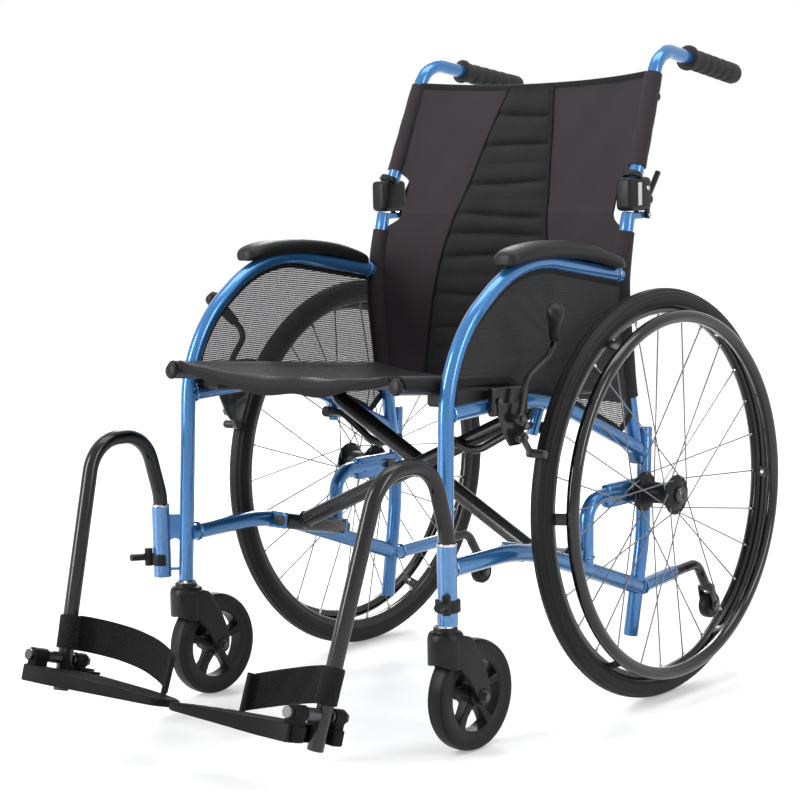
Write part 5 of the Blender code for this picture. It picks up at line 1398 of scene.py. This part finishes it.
# %% [markdown]
# ## Wheel locks and anti-tip arms
#
# The lock is a clamp on the seat rail with a plate outside it. The hand lever cranks outwards to a ball grip, and
# a short arm carries the bar that bites into the tyre. Behind, a small arm with a roller keeps the chair from
# tipping over backwards.

# %% Wheel locks
LOCK_X = 0.2885
LOCK_PIVOT = (LOCK_X, -0.323, 0.450)
SHOE_PIVOT = (LOCK_X, -0.318, 0.424)
SHOE_REACH = WHEEL_RADIUS + 0.003 + 0.0065
SHOE_TURN = math.radians(17.6)
SHOE_TIP = (LOCK_X, -SHOE_REACH * math.cos(SHOE_TURN), WHEEL_Z + SHOE_REACH * math.sin(SHOE_TURN))
LOCK_PLATE = [
    (-0.353, 0.472), (-0.352, 0.456), (-0.337, 0.424), (-0.328, 0.412), (-0.306, 0.412), (-0.292, 0.440),
    (-0.290, 0.472),
]
LEVER = [LOCK_PIVOT, (0.2885, -0.306, 0.505), (0.302, -0.262, 0.540), (0.334, -0.300, 0.596)]
HEX_HEAD = [(0, 0), (0.0050, 0), (0.0050, 0.0028), (0.0040, 0.0036), (0, 0.0036)]


def lock_mount(side):
    form = bmesh.new()
    moulding(form, on(side, 0.2675, -0.322, 0.474), (0.0115, 0.078, 0.040), 0.0040, Matrix.Rotation(-0.03, 4, "X"), 4)
    outline = [(y + AXLE_Y, z) for y, z in LOCK_PLATE]
    plate(form, outline, 0.004, Matrix.Translation((side * 0.2742, 0, 0)) @ SIDEWAYS, 0.0008)
    for x, y, z in (LOCK_PIVOT, SHOE_PIVOT):
        bar(form, [on(side, 0.274, y, z), on(side, x - 0.0048, y, z)], 0.0065, sides=24, ends=0.0006)
    return form


def lock_bolts(side):
    form = bmesh.new()
    for x, y, z in (LOCK_PIVOT, SHOE_PIVOT):
        bar(form, [on(side, 0.274, y, z), on(side, x + 0.0060, y, z)], 0.003, sides=14)
        turned(form, HEX_HEAD, on(side, x + 0.0048, y, z), (side, 0, 0), 6)
    for y in (-0.350, -0.294):
        turned(form, HEX_HEAD, on(side, 0.2748, y, 0.476), (side, 0, 0), 6)
    return form


def lever_path(side):
    return bent_path(line(side, LEVER), [0.030, 0.022], 8)


EYE = mirrored([(0, -0.0045), (0.0082, -0.0045), (0.0090, -0.0036)])


def lock_lever(side):
    form = bmesh.new()
    path = lever_path(side)
    sweep(form, path, rounded(0.0085, 0.0085, 0.0030, 4), side_on=(1, 0.05, 0))
    return turned(form, EYE, path[0], (1, 0, 0), 28)


def lever_grip(side):
    form = bmesh.new()
    path = lever_path(side)
    along = (path[-1] - path[-2]).normalized()
    grip = [(0, 0), (0.0062, 0.0), (0.0070, 0.0010), (0.0080, 0.012), (0.0088, 0.026), (0.0098, 0.036)]
    grip += [(0.0120, 0.0440), (0.0125, 0.0500), (0.0118, 0.0560), (0.0090, 0.0602), (0.0045, 0.0618), (0, 0.062)]
    return turned(form, grip, path[-1] - along * 0.052, along, 32)


def lock_shoe(side):
    form = bmesh.new()
    pivot, tip = on(side, *SHOE_PIVOT), on(side, *SHOE_TIP)
    sweep(form, [pivot, tip], rounded(0.0075, 0.0085, 0.0026, 3), side_on=(1, 0, 0))
    turned(form, [(r * 0.88, x) for r, x in EYE], pivot, (1, 0, 0), 28)
    outward = Vector((side, 0, 0))
    knurl = [(0, -0.0045), (0.0058, -0.0045), (0.0064, -0.0038), (0.0064, 0.0050)]
    for index in range(6):
        start = index * 0.0032
        knurl += [(0.0058, 0.0060 + start), (0.0065, 0.0070 + start), (0.0065, 0.0084 + start)]
    return turned(form, knurl + [(0.0058, 0.0260), (0, 0.0260)], tip, outward, 24)


for side in SIDES:
    dress(side, "lock_clamp", lock_mount(side), BLACK, "frame", "lock_mount")
    dress(side, "lock_bolts", lock_bolts(side), ZINC, "frame", angle=30)
    dress(side, "lock_handle", lock_lever(side), BLACK, "lock_lever", "lock_lever")
    dress(side, "lock_grip", lever_grip(side), PLASTIC, "lock_lever")
    dress(side, "lock_bar", lock_shoe(side), BLACK, "lock_shoe", "lock_shoe")
print("wheel locks dressed")

# %% Anti-tip arms and their rollers
TIP_WHEEL = (0.235, 0.232, 0.087)


def tip_arm(side):
    form = bmesh.new()
    first, last = (on(side, x, y, z) for x, y, z in TIP_TUBE)
    points = [first.lerp(last, 0.56), first.lerp(last, 1.25)]
    points += line(side, [(0.235, 0.196, 0.160), (0.235, 0.2235, 0.1175)])
    bar(form, points, 0.008, [0.06, 0.030], 24)
    hub = on(side, *TIP_WHEEL)
    lean = Matrix.Rotation(0.25, 4, "X")
    for way in (-1, 1):
        cheek = [hub + Vector((way * reach, 0, 0)) for reach in (0.0095, 0.0125)]
        bar(form, cheek, 0.009, sides=28, ends=0.0006)
        moulding(form, hub + Vector((way * 0.011, -0.005, 0.016)), (0.003, 0.013, 0.032), 0.0009, lean)
    moulding(form, hub + Vector((0, -0.008, 0.030)), (0.025, 0.0135, 0.0085), 0.0016, lean)
    bar(form, [hub - Vector((0.014, 0, 0)), hub + Vector((0.014, 0, 0))], 0.0042, sides=6)
    bead(form, on(side, 0.2350, 0.2215, 0.1205), (0, 0.54, -0.84), 0.0078, 0.0014)
    return form


def tip_roller(side):
    form = bmesh.new()
    half = [
        (0.0036, -0.0085), (0.0085, -0.0090), (0.0095, -0.0078), (0.0160, -0.0078), (0.0172, -0.0090),
        (0.0198, -0.0074), (0.0210, -0.0048),
    ]
    return turned(form, mirrored(half), on(side, *TIP_WHEEL), (1, 0, 0), 48)


for side in SIDES:
    dress(side, "tip_arm", tip_arm(side), BLACK, "frame", "anti_tip_arm")
    dress(side, "tip_roller", tip_roller(side), CASTER_RUBBER, "anti_tip_wheel", "anti_tip_wheel")
print("anti-tip arms dressed")

# %% [markdown]
# ## Seat and back cloth
#
# The sling seat wraps over both seat tubes and is screwed down along them, so it hangs a little lower in the
# middle, and its front hem is looser than its body and falls in shallow waves. The back is cloth in three strips:
# smooth nylon at both sides and a thick spacer knit between two lines of piping. Sleeves along its edges slip over
# the canes, with a cut-out where the hinge stands. Sitting has pressed level creases into it. The panel parts at
# the hinge height, where a crease hides the join, so that the back can fold.

# %% Sling seat
SEAT_OVER = TUBE + 0.001 + 0.002
SEAT_NOSE = [(-0.0195, -0.0010), (-0.0150, -0.0050), (-0.0080, -0.0068), (-0.0022, -0.0040)]
SEAT_DROP = (SEAT_FRONT[1] - SEAT_REAR[1]) / (SEAT_REAR[0] - SEAT_FRONT[0])


def seat_row(share, lift=0.0, pull=0.0):
    """One line of the seat across the chair, from the outer face of one tube to that of the other."""
    y = -0.493 + share * 0.442
    base = SEAT_REAR[1] + (SEAT_REAR[0] - y) * SEAT_DROP
    sag = 0.018 + 0.010 * math.sin(math.pi * share)
    row = []
    for turn in range(-12, 92, 13):
        angle = math.radians(turn)
        row.append((SEAT_TUBE_X + SEAT_OVER * math.cos(angle), SEAT_OVER * math.sin(angle)))
    for k in range(1, 17):
        inward = 1 - k / 16
        row.append((SEAT_TUBE_X * inward, SEAT_OVER - sag * (1 - inward**2)))
    points = []
    for x, z in row + [(-x, z) for x, z in reversed(row[:-1])]:
        slack = (1 - (x / SEAT_TUBE_X) ** 2) if abs(x) < SEAT_TUBE_X else 0.0
        wave = 0.0030 * noise.noise(Vector((x * 16, y * 22, 1.0)))
        wave += 0.0022 * noise.noise(Vector((x * 9 - y * 40, y * 70, 8.0)))
        gather = 0.0085 * noise.noise(Vector((x * 13 + y * 30, y * 34, 4.0))) + 0.0055
        wave += gather * math.exp(-(((share - 0.05) / 0.075) ** 2))
        points.append(at(x, y + pull * slack, base + z + slack * (wave + lift)))
    return points


def seat_rows():
    return [seat_row(k / 34) for k in range(35)]


def seat_cloth():
    """The cloth, with its front edge rolled down over a nose."""
    return cloth(bmesh.new(), [seat_row(0.0, lift, pull) for lift, pull in SEAT_NOSE] + seat_rows(), 0.0034)


def seat_hem():
    """The turned-under front edge, thicker than the cloth and a little wavy."""
    path = []
    for point in seat_row(0.0, -0.0165, -0.0048)[8:-8]:
        path.append(point + Vector((0, 0.0006 * math.sin(point.x * 60), 0.0012 * math.sin(point.x * 52 + 0.6))))
    return sweep(bmesh.new(), path, rounded(0.0052, 0.0125, 0.0024, 2), side_on=(0, 1, 0.1))


def seat_stitches():
    """Two lines of short stitches behind the hem, and one along each tube."""
    form = bmesh.new()
    lines = [seat_row(share)[9:-9] for share in (0.045, 0.060)]
    lines += [[row[index] for row in seat_rows()] for index in (9, -10)]
    for run in lines:
        dense = refined(run, 0.0045)
        for first, second in list(zip(dense, dense[1:]))[::2]:
            lift = Vector((0, 0, 0.0021))
            bar(form, [first + lift, second + lift], 0.00045, sides=6)
    return form


seat = piece("seat_cloth", seat_cloth(), SEAT, None, replaces=["seat_sling"])
hem = piece("seat_hem", seat_hem(), BINDING, None)
stitches = piece("seat_stitches", seat_stitches(), THREAD, None)
left, right = (tuple(on(side, 0.19, -0.27, 0.49)) for side in SIDES)
for cover in (seat, hem, stitches):
    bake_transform(cover)
print("sling seat dressed")

# %% The back, in a lower and an upper part
BACK_SPLIT = 0.716
SPLIT_GAP = 0.00005
BACK_LOW = 0.442
BACK_HIGH = 0.915
BACK_INSET = TUBE * 0.55
CREASES = [0.474, 0.534, 0.594, 0.652, 0.684, 0.716, 0.768, 0.822, 0.872]


def back_edge(z):
    """Where a cane's centre line is at this height."""
    path = refined(bent_path(line(1, LOWER_CANE), 0.30), 0.01) + refined(cane_path(1), 0.01)
    below = max((p for p in path if p.z <= z), key=lambda p: p.z)
    above = min((p for p in path if p.z >= z and p.y < AXLE_Y + 0.12), key=lambda p: p.z)
    share = 0.0 if above.z - below.z < 1e-6 else (z - below.z) / (above.z - below.z)
    return below.lerp(above, share)


def knit_edge(side, z):
    """Where the knit strip meets the smooth cloth: narrow at the top and widening downwards."""
    fall = BACK_HIGH - z
    return 0.035 + 0.21 * fall if side > 0 else -0.055 - 0.25 * fall


def crease(z, across):
    """The level folds that sitting presses in: sharp valleys between softly rounded swells."""
    nearest = min(abs(z - line_z - 0.004 * math.sin(across * 3 + line_z * 40)) for line_z in CREASES)
    valley = -0.0062 * math.exp(-((nearest / 0.0052) ** 2))
    return valley + 0.0034 * math.exp(-((nearest - 0.017) ** 2) / 0.00022)


def back_point(share, z):
    """A point of the cloth's middle surface; share runs from -1 at the right cane to 1 at the left."""
    cane = back_edge(z)
    x = share * (cane.x - BACK_INSET)
    bow = 0.026 * (1 - share**4)
    ripple = 0.0011 * math.sin(share * 9 + z * 31) + 0.0007 * math.sin(share * 17 - z * 47)
    slack = 1 - abs(share) ** 6
    y = cane.y + bow * 0.80 + ripple * slack
    right, left = knit_edge(-1, z), knit_edge(1, z)
    if right < x < left:
        inside = 1 - abs((2 * x - left - right) / (left - right)) ** 5
        y -= (0.0034 + crease(z, share)) * inside
    top = 0.010 * share**2 * max(0.0, (z - 0.80) / (BACK_HIGH - 0.80))
    return Vector((x, y, z + top))


def strip(low, high, from_x, to_x, thickness, rows=60, columns=22):
    """A strip of the back between two lines given as shares of its half width, which may change with height."""
    grid = []
    for k in range(rows + 1):
        z = low + (high - low) * k / rows
        start, end = from_x(z), to_x(z)
        grid.append([back_point(start + (end - start) * c / columns, z) for c in range(columns + 1)])
    return cloth(bmesh.new(), grid, thickness)


def knit_share(side, z):
    return knit_edge(side, z) / (back_edge(z).x - BACK_INSET)


def panel_share(z):
    """How far out the cloth reaches: it is cut away round the hinge."""
    return 1 - 0.115 / (1 + math.exp(-(z - 0.704) / 0.004)) / (1 + math.exp((z - 0.779) / 0.004))


def piping(low, high, side):
    path = []
    for k in range(49):
        z = low + (high - low) * k / 48
        path.append(back_point(knit_share(side, z), z) + Vector((0, -0.0040, 0)))
    return sweep(bmesh.new(), path, circle(0.0021, 10))


def sleeve(low, high, side):
    """The edge of the cloth wrapped round a cane, from its inner face round the front and back to the panel."""
    path = [back_edge(low + (high - low) * k / 24) for k in range(25)]
    path = [Vector((side * p.x, p.y, p.z)) for p in path]
    form = bmesh.new()
    rings = []
    for index, point in enumerate(path):
        onward = (path[min(index + 1, 24)] - path[max(index - 1, 0)]).normalized()
        out = (Vector((1, 0, 0)) - onward * onward.x).normalized()
        rear = onward.cross(out)
        for radius in (0.0122, 0.0136):
            ring = []
            for step in range(24):
                turn = 2 * math.pi * step / 24
                swell = 1 + 0.02 * math.sin(index * 0.9 + step)
                around = out * math.cos(turn) + rear * math.sin(turn)
                ring.append(form.verts.new(point + around * radius * swell))
            rings.append(ring)
    inner, outer = rings[0::2], rings[1::2]
    for layer in (inner, outer, [inner[0], outer[0]], [inner[-1], outer[-1]]):
        skin(form, layer)
    return form


def hem_band(z, thick, wide):
    """The folded top or bottom edge of the back."""
    path = [back_point(k / 20 - 1, z) + Vector((0, -0.0004, 0)) for k in range(41)]
    return sweep(bmesh.new(), path, rounded(wide, thick, thick * 0.45, 2), side_on=(0, 0, 1))


def knit_strip(low, high):
    return strip(low, high, lambda z: knit_share(-1, z), lambda z: knit_share(1, z), 0.0050, 110, 40)


PARTS = {
    "lower": (BACK_LOW, BACK_SPLIT - SPLIT_GAP, "frame_right"),
    "upper": (BACK_SPLIT + SPLIT_GAP, BACK_HIGH, "upper_back_right"),
}
SLEEVES = {"lower": (0.446, 0.692, "frame", "frame_tubes"), "upper": (0.788, 0.926, "upper_back", "cane_tube")}
CLOTH_EASE = 1.06
for part, (low, high, body) in PARTS.items():
    length, mid = (high - low) * CLOTH_EASE, (low + high) / 2
    start, end, holder, tube = SLEEVES[part]
    knit = piece(f"back_{part}_knit", knit_strip(low, high), KNIT, body, replaces=[f"back_{part}"])
    hem = piece(f"back_{part}_hem", hem_band(low if part == "lower" else high, 0.0052, 0.014), BINDING, body)
    covers = [knit, hem]
    cords = []
    for side in SIDES:
        panel = strip(low, high, lambda z: knit_share(side, z), lambda z: side * panel_share(z), 0.0034, 90)
        covers.append(piece(f"back_{part}_panel_{SIDES[side]}", panel, NYLON, body))
        cords.append(piece(f"back_{part}_piping_{SIDES[side]}", piping(low, high, side), BINDING, body))
        tunnel = piece(f"back_{part}_sleeve_{SIDES[side]}", sleeve(start, end, side), NYLON, named(holder, side))
    wide = knit_edge(1, low) - knit_edge(-1, low)
    area = (knit_edge(1, mid) - knit_edge(-1, mid)) * length
    for panel, side in zip(covers[2:], SIDES):
        wide, mean = (back_edge(z).x - BACK_INSET - abs(knit_edge(side, z)) for z in (high, mid))
    for cover in covers + cords:
        tuple(at(-CANE_X, 0.01, mid))
        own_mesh(cover)
print("back dressed")

# %% [markdown]
# ## The small CAD parts that stay
#
# Bolts, pins and levers whose shape is right already only need a real finish.

# %% Finishes for the remaining CAD parts
KEPT = {
    "brace_pivot_bolt": ZINC, "hanger_release": PLASTIC, "back_release": PLASTIC, "footplate_pin": ZINC,
    "seat_guide": PLASTIC, "brace_centre_bolt": ZINC,
}
for part, look in KEPT.items():
    for name in [part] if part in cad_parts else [named(part, side) for side in SIDES]:
        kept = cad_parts[name]
        kept.data.materials.clear()
        kept.data.materials.append(look)
        kept.data.shade_smooth()
        kept.data.set_sharp_from_angle(angle=math.radians(38))
print("parts with only a new finish:", len(KEPT))

# %% [markdown]
# ## Floor, light and camera
#
# A pale studio floor under a white world, a tall key from the left, a weaker fill and two strips that draw
# the long highlights on the tubes. The camera stands where the photograph was taken, at seat height in front of
# the chair's left corner, with a long lens.

# %% Floor and world
def seen_rays(tree):
    """1 for the rays that show the background: straight, mirrored or through glass."""
    rays = tree.nodes.new("ShaderNodeLightPath").outputs
    straight = maths(tree, "MAXIMUM", rays["Is Camera Ray"], rays["Is Glossy Ray"])
    return maths(tree, "MAXIMUM", straight, rays["Is Transmission Ray"])


floor_look = bpy.data.materials.new("studio_floor")
floor_look.use_nodes = True
tree = floor_look.node_tree
shader = tree.nodes["Principled BSDF"]
shader.inputs["Base Color"].default_value = (0.80, 0.80, 0.80, 1)
shader.inputs["Roughness"].default_value = 0.6
seen = seen_rays(tree)
shader.inputs["Emission Color"].default_value = (1, 1, 1, 1)
distance = node(tree, "ShaderNodeVectorMath", {0: object_place(tree)}, operation="LENGTH").outputs["Value"]
glow = maths(tree, "MINIMUM", maths(tree, "MULTIPLY_ADD", distance, 0.05, 0.25), 0.62)
feed(tree, shader, "Emission Strength", maths(tree, "MULTIPLY", seen, glow))
FLOOR_HALF = 30
floor_mesh = bpy.data.meshes.new("studio_floor")
corners = [(x * FLOOR_HALF, y * FLOOR_HALF, 0) for x, y in ((-1, -1), (1, -1), (1, 1), (-1, 1))]
floor_mesh.from_pydata(corners, [], [(0, 1, 2, 3)])
floor = bpy.data.objects.new("studio_floor", floor_mesh)
floor_mesh.materials.append(floor_look)
bpy.context.scene.collection.objects.link(floor)
floor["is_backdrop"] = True

world = bpy.data.worlds.new("studio")
world.use_nodes = True
bpy.context.scene.world = world
tree = world.node_tree
sky = tree.nodes["Background"]
sky.inputs["Color"].default_value = (1, 1, 1, 1)
seen = seen_rays(tree)
tree.links.new(maths(tree, "MULTIPLY_ADD", seen, 0.45, 0.55), sky.inputs["Strength"])

print("floor", 2 * FLOOR_HALF, "m wide under a white world")

# %% [markdown]
# Long tall lamps draw long highlights on round tubes. The key stands low enough for upright tubes to mirror it.

# %% Lamps and camera
def lamp(name, place, aim, size, power):
    data = bpy.data.lights.new(name, "AREA")
    data.shape = "RECTANGLE"
    data.size, data.size_y = size
    data.energy = power
    obj = bpy.data.objects.new(name, data)
    bpy.context.scene.collection.objects.link(obj)
    obj.location = place
    obj.rotation_euler = (Vector(aim) - Vector(place)).to_track_quat("-Z", "Y").to_euler()
    return obj


lamp("key", (-1.3, -3.0, 1.7), (0, -0.1, 0.5), (0.7, 2.8), 120)
lamp("fill", (3.6, 0.2, 1.8), (0, 0, 0.5), (0.8, 2.4), 50)
lamp("back_strip", (-2.2, 2.4, 2.2), (0, 0, 0.6), (0.8, 2.6), 60)
lamp("top_strip", (0.4, 0.2, 3.0), (0, 0, 0.4), (1.0, 3.0), 40)

LENS = 91.4
ROLL = math.radians(-1.22)
eye, target = at(1.982, -2.495, 0.795), at(-0.568, 0.404, 0.352)
camera = bpy.data.objects.new("camera", bpy.data.cameras.new("camera"))
bpy.context.scene.collection.objects.link(camera)
camera.data.lens = LENS
camera.data.sensor_width = 36.0
camera.location = eye
facing = (target - eye).to_track_quat("-Z", "Y").to_matrix().to_4x4()
camera.matrix_world = Matrix.Translation(eye) @ facing @ Matrix.Rotation(ROLL, 4, "Z")
bpy.context.scene.camera = camera
bpy.context.scene.view_settings.view_transform = "Standard"

print("camera", round((target - eye).length, 2), "m from its aim")

# %% [markdown]
# The box round the dressed parts is taken at the end; hidden parts and the floor are left out of it.

# %% The size of the dressed chair
low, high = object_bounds()
